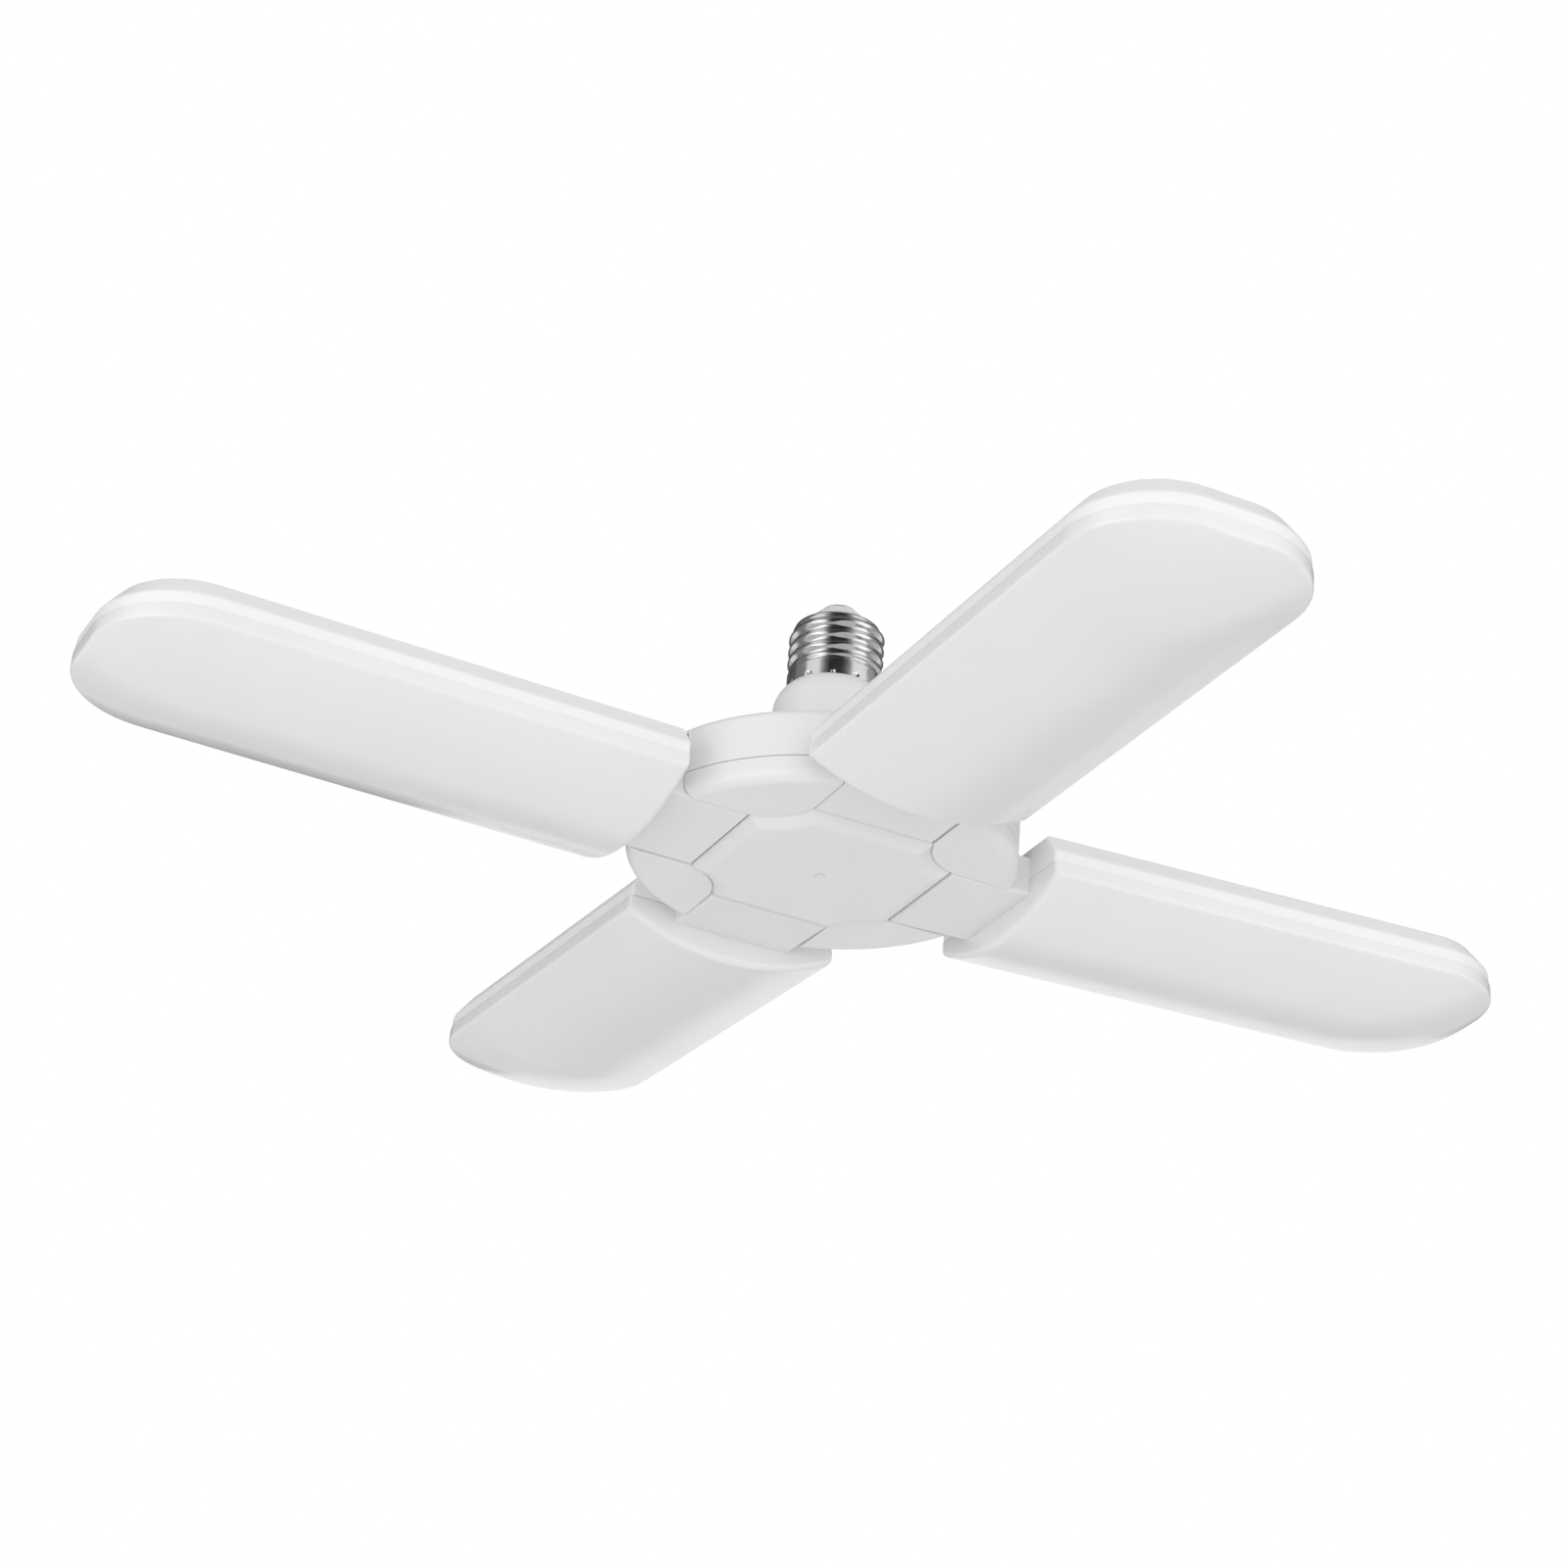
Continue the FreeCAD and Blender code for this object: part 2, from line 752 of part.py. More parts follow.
def dome_section(x, half, height, z):
    """An arc below its chord, across the blade."""
    a = vec(x, -half, z)
    b = vec(x, half, z)
    return Part.Wire([arc(a, vec(x, 0, z - height), b), line(b, a)])


def diffuser_dome(inset):
    """The arched underside as a solid: an even arch, and a tip that narrows and rolls up.

    In the tip the half width follows the outline's round corners. The arch's height falls off a
    little earlier, as a power of what is left of the way to the tip.
    """
    root = blade_root + inset
    tip = blade_tip + diffuser_overhang - inset
    half = diffuser_half_width - inset
    depth = diffuser_depth - inset
    corner = tip_corner + diffuser_overhang - inset
    z = floor + diffuser_edge
    fall = arch_fall_length
    start = tip - fall
    straight = Part.Face(dome_section(root, half, depth, z)).extrude(vec(start - root, 0, 0))
    square_end = blade_prism(inset - diffuser_overhang, root, z - 2 * depth, z)
    straight = straight.common(square_end)
    places = [start + (fall - corner) * step / 4 for step in range(4)]
    places += [tip - corner + corner * math.sin(math.radians(8.6 * step)) for step in range(11)]
    sections = []
    for x in places:
        round_corner = max(x - tip + corner, 0) / corner
        width = half - corner + corner * math.sqrt(1 - round_corner ** 2)
        way = (x - start) / fall
        height = depth * (1 - way ** arch_fall_start) ** arch_fall_end
        sections.append(dome_section(x, width, height, z))
    rolled = Part.makeLoft(sections, True, True)
    return straight.fuse(rolled)


def walled_dome(inset, wall_height):
    """The dome with an upright wall raised from its own outline."""
    dome = diffuser_dome(inset)
    z = floor + diffuser_edge
    flat = [face for face in dome.Faces if face.BoundBox.ZMin > z - 0.001]
    walls = [face.extrude(vec(0, 0, wall_height)) for face in flat]
    return fused([dome] + walls)


def make_blade_diffuser():
    """The milky cover: an arched floor, low side walls, and a lip that locates in the back shell."""
    seam = floor + blade_seam
    edge = floor + diffuser_edge
    outer = walled_dome(0, seam - edge)
    space = walled_dome(diffuser_wall, seam - edge - diffuser_ledge)
    lip_outer = blade_wall + fit_clearance
    lip = blade_prism(lip_outer, blade_root + lip_outer, seam - diffuser_ledge, seam + lip_height)
    opening = blade_prism(lip_outer + lip_wall, blade_root + lip_outer + lip_wall, edge,
                          seam + lip_height + 1)
    shell = outer.cut(space).fuse(lip).cut([opening, arm_space(fit_clearance)])
    return shell.removeSplitter()


def make_hinge_arm():
    """The block that turns on the hinge pins and carries the blade, with a channel for the leads."""
    end = arm_inner + arm_length
    top = floor + arm_thickness
    block = box(arm_inner, end, -arm_half_width, arm_half_width, floor, top)
    nose = [edge for edge in block.Edges
            if edge.BoundBox.XMax < arm_inner + 0.01 and edge.BoundBox.ZMin > top - 0.01]
    block = block.makeFillet(arm_nose_round, nose)
    rounded = [edge for edge in block.Edges
               if edge.BoundBox.ZMax < floor + 0.01 and edge.BoundBox.XMin < end - 0.01]
    block = block.makeFillet(arm_edge_round, rounded)
    channel = box(arm_inner - 1, end + 1, -channel_half_width, channel_half_width,
                  floor + channel_floor, top - channel_floor)
    open_top = box(blade_root + blade_wall, end + 1, -channel_half_width, channel_half_width,
                   floor + channel_floor, top + 1)
    bore = rod(pin_radius + running_clearance, vec(pivot_radius, -arm_half_width - 1, parting),
               vec(pivot_radius, arm_half_width + 1, parting))
    cuts = [channel, open_top, bore]
    for side in (-1, 1):
        recess = rod(washer_radius + fit_clearance, vec(pivot_radius, side * (arm_half_width + 1), parting),
                     vec(pivot_radius, side * (arm_half_width - washer_recess), parting))
        cuts.append(recess)
    for x, y in arm_screw_places():
        cuts.append(rod(screw_radius + fit_clearance, vec(x, y, floor - 1), vec(x, y, top + 1)))
        cuts.append(rod(screw_head_radius + fit_clearance, vec(x, y, floor - 1),
                        vec(x, y, floor + screw_head_height + fit_clearance)))
    return block.cut(cuts)


def make_led_board():
    """The aluminium board that carries the LEDs."""
    z = floor + led_board_height
    board = box(led_board_start, led_board_end, -led_board_half_width, led_board_half_width,
                z, z + led_board_thickness)
    corners = [edge for edge in board.Edges if edge.Length < led_board_thickness + 0.01]
    tip_corners = [edge for edge in corners if edge.BoundBox.XMin > led_board_end - 0.01]
    board = board.makeFillet(led_board_half_width * 0.6, tip_corners)
    holes = []
    for x, y in board_screw_places():
        holes.append(rod(small_screw_radius + fit_clearance, vec(x, y, z - 1), vec(x, y, z + 5)))
    return board.cut(holes)


def make_leds():
    """The LED packages, in rows along the underside of the board."""
    z = floor + led_board_height
    middle = (led_board_start + led_board_end) / 2
    leds = []
    for column in range(led_columns):
        x = middle + (column - (led_columns - 1) / 2) * led_column_pitch
        for row in range(led_rows):
            y = (row - (led_rows - 1) / 2) * led_row_spacing
            leds.append(box(x - led_length / 2, x + led_length / 2, y - led_width / 2,
                            y + led_width / 2, z - led_height, z))
    return Part.makeCompound(leds)


def make_blade_leads():
    """The pair of leads from the hinge through the arm to the LED board."""
    low = board_bottom - connector_height / 2
    high = floor + led_board_height + led_board_thickness + wire_radius
    leads = []
    for y in (-wire_spacing, wire_spacing):
        points = [
            vec(arm_inner + 1, y, low),
            vec(led_board_start - 9, y, low),
            vec(led_board_start - 4, y, high),
            vec(led_board_start + 5, y, high),
        ]
        leads.append(bent_wire(points, 5.0, wire_radius))
    return Part.makeCompound(leads)


def make_blade_screws():
    """Two screws that hold the arm to the back shell."""
    seat = floor + screw_head_height + fit_clearance
    length = blade_top - 1.0 - screw_head_height
    screws = []
    for x, y in arm_screw_places():
        screws.append(screw(screw_radius, screw_head_radius, screw_head_height, x, y, seat, length))
    return Part.makeCompound(screws)


def make_board_screws():
    """Four small screws that hold the LED board to the posts."""
    seat = floor + led_board_height
    screws = []
    for x, y in board_screw_places():
        screws.append(screw(small_screw_radius, small_head_radius, small_head_height, x, y, seat,
                            board_screw_length))
    return Part.makeCompound(screws)


save("screw_shell", make_screw_shell())
save("base_insulator", make_base_insulator())
save("centre_contact", make_centre_contact())
save("hub_top_cover", make_top_cover())
save("hub_bottom_cover", make_bottom_cover())
save("centre_plate", make_centre_plate())
save("driver_board", make_driver_board())
save("filter_capacitors", make_capacitors())
save("driver_transformer", make_transformer())
save("bridge_rectifier", make_rectifier())
save("driver_chip", make_driver_chip())
save("fuse_resistor", make_fuse_resistor())
save("lead_connectors", make_lead_connectors())
save("hub_feed_leads", make_feed_leads())
save("live_wire", make_live_wire())
save("neutral_wire", make_neutral_wire())
save("hinge_pins", make_hinge_pins())
save("friction_washers", make_friction_washers())
save("hub_screws", make_hub_screws())

blade_pieces = {
    "back": make_blade_back(),
    "diffuser": make_blade_diffuser(),
    "hinge_arm": make_hinge_arm(),
    "led_board": make_led_board(),
    "leds": make_leds(),
    "leads": make_blade_leads(),
    "arm_screws": make_blade_screws(),
    "board_screws": make_board_screws(),
}
blade_sides = [
    ("right", 0, tilt_right),
    ("rear", 90, tilt_rear),
    ("left", 180, tilt_left),
    ("front", 270, tilt_front),
]
for side, direction, tilt in blade_sides:
    for piece, shape in blade_pieces.items():
        placed = shape.copy()
        placed.rotate(vec(pivot_radius, 0, parting), vec(0, 1, 0), -tilt)
        placed.rotate(origin, up, direction)
        save(side + "_blade_" + piece, placed)
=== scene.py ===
"""The looks of a four-blade folding garage light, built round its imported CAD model.

Lengths in the shape functions are millimetres, as in the CAD source. Heights on the blades and the
centre plate count from the hub's lowest face, and those on the screw base from the frame's origin.
They become metres in the row's frame where a piece is made.
"""
import json
import math

import bmesh
import bpy
import numpy as np
from mathutils import Matrix, Vector


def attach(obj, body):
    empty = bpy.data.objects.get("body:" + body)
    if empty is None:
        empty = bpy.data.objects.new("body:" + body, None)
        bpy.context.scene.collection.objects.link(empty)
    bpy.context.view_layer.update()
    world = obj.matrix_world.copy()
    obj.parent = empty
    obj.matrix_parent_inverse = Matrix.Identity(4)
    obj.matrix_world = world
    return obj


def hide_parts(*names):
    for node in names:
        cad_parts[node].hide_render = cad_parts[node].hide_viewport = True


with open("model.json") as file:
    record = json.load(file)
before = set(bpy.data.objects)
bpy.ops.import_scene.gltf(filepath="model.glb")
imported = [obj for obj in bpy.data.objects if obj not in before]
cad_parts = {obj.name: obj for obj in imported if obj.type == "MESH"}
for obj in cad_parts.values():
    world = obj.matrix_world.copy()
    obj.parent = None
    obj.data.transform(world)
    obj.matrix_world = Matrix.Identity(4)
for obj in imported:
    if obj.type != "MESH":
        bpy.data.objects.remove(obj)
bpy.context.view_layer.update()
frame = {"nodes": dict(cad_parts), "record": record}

# ---------------------------------------------------------------- sizes shared with the CAD source
FLOOR = -79.5
PARTING = 6.6
PIVOT_RADIUS = 41.0
LOBE_CENTRE = 33.5
BLADE_ROOT = 54.0
BLADE_TIP = 206.5
BLADE_HALF = 31.1
BLADE_TOP = 14.5
TIP_CORNER = 25.0
ROOT_CORNER = 0.8
SLOPE_INSET = 4.9
SEAM = 4.7
RIB_COUNT = 9
RIB_PITCH = 4.85
RIB_MARGIN = 4.0
OVERHANG = 0.4
DIFFUSER_EDGE = 0.75
DIFFUSER_WALL = 1.6
ARCH_DEPTH = 7.9
ARCH_FALL_LENGTH = 37.4
ARCH_FALL_START = 1.6
ARCH_FALL_END = 0.675
THREAD_PITCH = 3.629
THREAD_DEPTH = 1.1
CORE_RADIUS = 12.05
SKIRT_RADIUS = 13.0
SHELL_BOTTOM = -26.5

# The direction of each side, and the upward tilt of its blade at rest, in degrees
SIDES = {"right": (0, 2.3), "rear": (90, 3.8), "left": (180, 0.7), "front": (270, -0.4)}

# ---------------------------------------------------------------- sizes of the scene's own surfaces
FULL_INSET = 25.0       # no root end is drawn in further than this
ROOT_ROUND_START = 12.7
ROOT_ROUND = 1.8
PLATE_HALF = 29.8
PLATE_HOLLOW = 15.9
OUTER_WALL = 52.5       # what lies further out at the parting line is the hub's outer rim
MOULDED_EDGE = 0.00025  # in metres, like the next one
PARTING_WEDGE = 0.00022

# ---------------------------------------------------------------- studio, in metres and degrees
LAMP_MIDDLE = (0, 0, -0.06)
CAMERA_SIDE = -114.8    # the azimuth of the camera, seen from the lamp
SKY_LIGHT = 0.745
FLOOR_HEIGHT = -2.4
FLOOR_HALF = 9

# Name, place, width, height, power in watts, and whether gloss mirrors it
SOFT_BOXES = (
    ("left_box", (-1.7, -0.65, -0.75), 1.3, 2.0, 8.5, True),
    ("right_box", (1.25, -1.5, -0.3), 1.1, 2.0, 4.0, True),
    ("front_box", (-0.45, -1.95, -0.4), 1.5, 1.4, 10.6, False),
    ("rear_box", (0.6, 1.8, -0.7), 1.5, 1.5, 3.0, False),
    ("floor_box", (0.2, 0.2, -1.9), 1.5, 1.5, 1.2, False),
)

# Name, left and right edge, low and high edge, shade, and distance
FELT_SCREENS = (
    ("middle_screen", -18, 21, -70, 80, 0.02, 2.1),
    ("middle_screen_edge", -27, 31, -70, 80, 0.12, 2.15),
    ("middle_screen_rim", -36, 40, -70, 80, 0.35, 2.2),
    ("left_screen", -110, -74, -70, 60, 0.24, 2.2),
    ("rear_left_screen", -170, -110, -5, 60, 0.1, 2.2),
    ("right_screen", 84, 112, -70, 60, 0.4, 2.2),
    ("rear_right_screen", 112, 160, -5, 60, 0.14, 2.2),
    ("low_screen", -74, 84, -75, -38, 0.3, 2.25),
    ("roof_screen", -180, 180, 62, 89.9, 0.16, 2.05),
    ("horizon_screen", 135, 230, -26, -8, 0.4, 2.15),
    ("horizon_screen_edge", 135, 230, -30, -26, 0.65, 2.15),
)

# The fitted camera: its angles and distance, and its focal length in pixels of the photograph
AZIMUTH, ELEVATION, ROLL = -24.81, -27.33, -4.41
CAMERA_DISTANCE = 1.0727
FOCAL_PIXELS = 4096.2
PHOTO_PIXELS = 1600
# Where the middle of the hub's lowest face lies in the photograph, in pixels from its top left
HUB_PIXEL_ACROSS, HUB_PIXEL_DOWN = 837.43, 887.19
SENSOR_WIDTH = 36.0


# ================================================================ finishes
class Wire:
    """An output of a shader node, which takes part in sums and products like a number."""

    def __init__(self, finish, socket):
        self.finish = finish
        self.socket = socket

    def sum_with(self, operation, first, second):
        settings = {"operation": operation}
        return self.finish.node("ShaderNodeMath", settings, {0: first, 1: second})

    def __add__(self, other):
        return self.sum_with("ADD", self, other)

    def __radd__(self, other):
        return self.sum_with("ADD", other, self)

    def __sub__(self, other):
        return self.sum_with("SUBTRACT", self, other)

    def __rsub__(self, other):
        return self.sum_with("SUBTRACT", other, self)

    def __mul__(self, other):
        return self.sum_with("MULTIPLY", self, other)

    def __rmul__(self, other):
        return self.sum_with("MULTIPLY", other, self)

    def __truediv__(self, other):
        return self.sum_with("DIVIDE", self, other)

    def __rtruediv__(self, other):
        return self.sum_with("DIVIDE", other, self)

    def above(self, level):
        """1 where this is above the level, and 0 elsewhere."""
        return self.sum_with("GREATER_THAN", self, level)


class Finish:
    """A finish under construction, as a tree of nodes."""

    def __init__(self, tree):
        self.tree = tree
        tree.nodes.clear()

    def node(self, kind, settings=None, inputs=None, output=0):
        """Add a node: its settings first, then its inputs, each a value or a wire."""
        made = self.tree.nodes.new(kind)
        for name, value in (settings or {}).items():
            setattr(made, name, value)
        for name, value in (inputs or {}).items():
            if isinstance(value, Wire):
                self.tree.links.new(value.socket, made.inputs[name])
            else:
                made.inputs[name].default_value = value
        return Wire(self, made.outputs[output]) if len(made.outputs) else None

    def place(self):
        return self.node("ShaderNodeTexCoord", output="Object")

    def up(self):
        """The height on the piece, in metres."""
        return self.node("ShaderNodeSeparateXYZ", {}, {"Vector": self.place()}, "Z")

    def stretched(self, scale):
        """The place on the piece, with each axis scaled for a drawn-out pattern."""
        return self.node("ShaderNodeMapping", {}, {"Vector": self.place(), "Scale": scale})

    def noise(self, scale, detail=2.0, vector=None):
        inputs = {"Vector": vector or self.place(), "Scale": scale, "Detail": detail}
        return self.node("ShaderNodeTexNoise", {}, inputs, "Fac")

    def between(self, factor, low, high):
        """A number that runs from low to high as the factor runs from 0.3 to 0.7, as noise does."""
        inputs = {"Value": factor, "From Min": 0.3, "From Max": 0.7, "To Min": low, "To Max": high}
        return self.node("ShaderNodeMapRange", {}, inputs)

    def zero_to_one(self, value):
        """The value, held between 0 and 1."""
        return self.node("ShaderNodeClamp", {}, {"Value": value, "Min": 0.0, "Max": 1.0})

    def blend(self, factor, low, high):
        """A colour between two colours."""
        settings = {"data_type": "RGBA", "blend_type": "MIX"}
        return self.node("ShaderNodeMix", settings, {0: factor, 6: low, 7: high}, 2)

    def clouded(self, noise, dark, pale):
        """A colour that follows a noise from dark to pale, each given as three numbers."""
        return self.blend(self.between(noise, 0.0, 1.0), colour(*dark), colour(*pale))

    def relief(self, height, strength, distance, under=None):
        """A bump of the surface, on top of another one if that is given."""
        inputs = {"Height": height, "Strength": strength, "Distance": distance}
        if under:
            inputs["Normal"] = under
        return self.node("ShaderNodeBump", {}, inputs)

    def coated(self, **inputs):
        """The plain shader; underscores in the input names stand for spaces."""
        named = {name.replace("_", " "): value for name, value in inputs.items()}
        return self.node("ShaderNodeBsdfPrincipled", {}, named)

    def finish(self, shader):
        self.node("ShaderNodeOutputMaterial", {}, {"Surface": shader})


def new_finish(name):
    material = bpy.data.materials.new(name)
    material.use_nodes = True
    return material, Finish(material.node_tree)


def colour(red, green, blue):
    return (red, green, blue, 1.0)


def grey(level):
    return colour(level, level, level)


def moulded_white(name, dull, clear):
    """Satin white moulding with a fine spark-eroded grain and a slight cloudiness."""
    material, f = new_finish(name)
    tint = f.clouded(f.noise(40.0, 3.0), dull, clear)
    grain = f.relief(f.noise(5200.0, 2.0), 0.22, 0.00004)
    soft = f.relief(f.noise(160.0, 1.0), 0.1, 0.0001, grain)
    gloss = f.between(f.noise(90.0, 3.0), 0.36, 0.44)
    f.finish(f.coated(Base_Color=tint, Roughness=gloss, Normal=soft, IOR=1.5))
    return material


def milky_cover():
    """Glossy milky polycarbonate, a little warm, with a faint flow pattern from moulding."""
    material, f = new_finish("milky_cover")
    tint = f.clouded(f.noise(26.0, 2.0), (0.81, 0.799, 0.801), (0.83, 0.819, 0.821))
    peel = f.relief(f.noise(210.0, 1.5), 0.12, 0.00006)
    gloss = f.between(f.noise(60.0, 2.0), 0.2, 0.26)
    shader = f.coated(Base_Color=tint, Roughness=gloss, Normal=peel, IOR=1.5,
                      Subsurface_Weight=0.2, Subsurface_Radius=(1.0, 1.0, 1.0),
                      Subsurface_Scale=0.002, Coat_Weight=0.15, Coat_Roughness=0.15)
    f.finish(shader)
    return material


def bright_nickel():
    """Bright nickel plate with fine turning lines round the shell and light handling haze."""
    material, f = new_finish("bright_nickel")
    haze = f.noise(420.0, 4.0)
    lines = f.noise(1.0, 3.0, f.stretched((300, 300, 9000)))
    tint = f.clouded(haze, (0.62, 0.615, 0.605), (0.72, 0.715, 0.705))
    gloss = f.between(haze, 0.13, 0.24)
    brushed = f.relief(lines, 0.16, 0.00003)
    f.finish(f.coated(Base_Color=tint, Metallic=1.0, Roughness=gloss, Normal=brushed))
    return material


def pale_insulator():
    """Pale moulded insulator with mineral specks."""
    material, f = new_finish("pale_insulator")
    specks = f.noise(1800.0, 3.0)
    tint = f.clouded(specks, (0.68, 0.675, 0.66), (0.74, 0.735, 0.72))
    skin = f.relief(f.noise(900.0, 2.0), 0.12, 0.00005)
    f.finish(f.coated(Base_Color=tint, Roughness=f.between(specks, 0.24, 0.36), Normal=skin))
    return material


def plated_metal(name, dark, pale, low_gloss, high_gloss, grain):
    """Plated metal with drawn grain along one direction and soft blotches."""
    material, f = new_finish(name)
    blotch = f.noise(380.0, 3.0)
    drawn = f.noise(1.0, 2.0, f.stretched(grain))
    tint = f.clouded(blotch, dark, pale)
    gloss = f.between(blotch * 0.5 + drawn * 0.5, low_gloss, high_gloss)
    f.finish(f.coated(Base_Color=tint, Metallic=1.0, Roughness=gloss,
                      Normal=f.relief(drawn, 0.2, 0.00004)))
    return material


def masked_board(name, mask, trace):
    """Printed board: solder mask over a raised pattern of tracks, with a fine weave."""
    material, f = new_finish(name)
    cells = {"Vector": f.stretched((1, 1, 0.02)), "Scale": 260.0, "Randomness": 0.55}
    tracks = f.node("ShaderNodeTexVoronoi", {"feature": "DISTANCE_TO_EDGE"}, cells, "Distance")
    line_width = 0.09
    on = f.zero_to_one(1 - tracks / line_width)
    weave = f.noise(2600.0, 1.0)
    tint = f.blend(on, colour(*mask), colour(*trace))
    height = f.relief(on + weave * 0.1, 0.25, 0.00006)
    f.finish(f.coated(Base_Color=tint, Roughness=f.between(weave, 0.28, 0.42), Normal=height))
    return material


def moulded_body(name, dark, pale, low_gloss, high_gloss, scale):
    """Small moulded or lacquered body with speckle and a slight skin."""
    material, f = new_finish(name)
    speck = f.noise(scale, 3.0)
    tint = f.clouded(speck, dark, pale)
    skin = f.relief(f.noise(scale * 0.7, 2.0), 0.15, 0.00005)
    gloss = f.between(speck, low_gloss, high_gloss)
    f.finish(f.coated(Base_Color=tint, Roughness=gloss, Normal=skin))
    return material


def taped_winding():
    """Yellow winding tape in level turns, with the ferrite's dark grey below and above."""
    material, f = new_finish("taped_winding")
    tape_bottom, tape_top = 12.8, 20.4
    turns = f.node("ShaderNodeTexWave", {"bands_direction": "Z"},
                   {"Vector": f.place(), "Scale": 180.0, "Distortion": 0.6, "Detail": 1.0}, "Fac")
    tape = f.blend(turns, colour(0.5, 0.36, 0.06), colour(0.68, 0.5, 0.12))
    up = f.up()
    outside = up.above((FLOOR + tape_top) / 1000) + (1 - up.above((FLOOR + tape_bottom) / 1000))
    tint = f.blend(outside, tape, colour(0.05, 0.05, 0.055))
    f.finish(f.coated(Base_Color=tint, Roughness=f.between(f.noise(700.0), 0.35, 0.55),
                      Normal=f.relief(turns, 0.2, 0.00008)))
    return material


def sleeved_can():
    """Shrink-sleeved can: dark sleeve with a paler stripe and a bare metal top."""
    material, f = new_finish("sleeved_can")
    sleeve_top = 26.3
    stripe = f.node("ShaderNodeTexWave", {"bands_direction": "X"},
                    {"Vector": f.place(), "Scale": 55.0, "Distortion": 0.0}, "Fac")
    sleeve = f.blend(stripe.above(0.93), colour(0.02, 0.025, 0.05), colour(0.45, 0.45, 0.47))
    bare = f.up().above((FLOOR + sleeve_top) / 1000)
    gloss = f.between(f.noise(500.0), 0.25, 0.4)
    f.finish(f.coated(Base_Color=f.blend(bare, sleeve, grey(0.7)), Metallic=bare, Roughness=gloss))
    return material


def lit_phosphor():
    """Phosphor under clear resin in a pale frame."""
    material, f = new_finish("phosphor")
    grains = f.noise(6000.0, 2.0)
    tint = f.clouded(grains, (0.82, 0.66, 0.14), (0.9, 0.76, 0.25))
    f.finish(f.coated(Base_Color=tint, Roughness=f.between(grains, 0.15, 0.3),
                      Normal=f.relief(grains, 0.1, 0.00003), Coat_Weight=0.4))
    return material


# The finish of each slot of the record, and beside them a paler copy of the hub's white for the
# backs, whose extra brightness is painted light on their slopes and sides
FINISHES = {
    "white_cover": moulded_white("hub_white", (0.77, 0.766, 0.769), (0.79, 0.786, 0.789)),
    "white_back_painted_light": moulded_white("back_white_painted_light", (0.86, 0.853, 0.855), (0.88, 0.873, 0.875)),
    "milky_diffuser": milky_cover(),
    "nickel_shell": bright_nickel(),
    "base_insulator": pale_insulator(),
    "contact_metal": plated_metal("tinned_contact", (0.8, 0.79, 0.77), (0.88, 0.87, 0.85),
                                  0.6, 0.7, (500, 500, 500)),
    "circuit_board": masked_board("green_board", (0.015, 0.12, 0.05), (0.05, 0.24, 0.1)),
    "capacitor_can": sleeved_can(),
    "transformer": taped_winding(),
    "component_body": moulded_body("black_body", (0.018, 0.018, 0.02), (0.04, 0.04, 0.042),
                                   0.4, 0.6, 2200.0),
    "fuse_body": moulded_body("lacquered_body", (0.1, 0.26, 0.18), (0.14, 0.32, 0.23),
                              0.25, 0.4, 900.0),
    "connector_body": moulded_body("natural_nylon", (0.74, 0.72, 0.64), (0.8, 0.78, 0.7),
                                   0.3, 0.45, 700.0),
    "wire_jacket": moulded_body("lead_jacket", (0.42, 0.025, 0.02), (0.5, 0.04, 0.03),
                                0.35, 0.5, 1200.0),
    "steel_hardware": plated_metal("zinc_plate", (0.55, 0.55, 0.56), (0.68, 0.68, 0.7),
                                   0.22, 0.4, (900, 900, 2500)),
    "led_board": masked_board("white_board", (0.8, 0.8, 0.79), (0.7, 0.7, 0.68)),
    "led_phosphor": lit_phosphor(),
}


def dress_cad_nodes():
    """Give every CAD node the finish of its slot in the record."""
    for part in frame["record"]["subparts"]:
        piece = frame["nodes"][part["node"]]
        for place in piece.material_slots:
            place.material = FINISHES[part["material_slot"]]
        if not piece.material_slots:
            piece.data.materials.append(FINISHES[part["material_slot"]])


# ================================================================ shapes
def grid_quads(rows, columns, round_columns=True):
    """The corner numbers of a grid's quads; the last column joins the first if it goes round."""
    row = np.arange(rows - 1)[:, None]
    column = np.arange(columns if round_columns else columns - 1)[None, :]
    after = (column + 1) % columns
    corners = [row * columns + column, row * columns + after,
               (row + 1) * columns + after, (row + 1) * columns + column]
    return np.stack(np.broadcast_arrays(*corners), -1).reshape(-1, 4)


def make_piece(name, shells, slot, body, stands_for, sharp_angle=35.0, finish=None):
    """Make one object from closed shells, each an array of rings.

    Poles are merged and the faces point outwards.
    """
    points, quads, count = [], [], 0
    for rings in shells:
        points.append(rings.reshape(-1, 3))
        quads.append(grid_quads(rings.shape[0], rings.shape[1]) + count)
        count += rings.shape[0] * rings.shape[1]
    points = np.concatenate(points)
    quads = np.concatenate(quads)
    mesh = bpy.data.meshes.new(name)
    mesh.vertices.add(len(points))
    mesh.vertices.foreach_set("co", (points / 1000).astype(np.float32).ravel())
    mesh.loops.add(quads.size)
    mesh.loops.foreach_set("vertex_index", quads.astype(np.int32).ravel())
    mesh.polygons.add(len(quads))
    mesh.polygons.foreach_set("loop_start", np.arange(0, quads.size, 4, dtype=np.int32))
    mesh.update(calc_edges=True)
    tidy = bmesh.new()
    tidy.from_mesh(mesh)
    bmesh.ops.remove_doubles(tidy, verts=tidy.verts, dist=2e-6)
    bmesh.ops.dissolve_degenerate(tidy, edges=tidy.edges, dist=1e-6)
    bmesh.ops.recalc_face_normals(tidy, faces=tidy.faces)
    tidy.to_mesh(mesh)
    tidy.free()
    install(name, mesh, slot, body, stands_for, sharp_angle, finish)


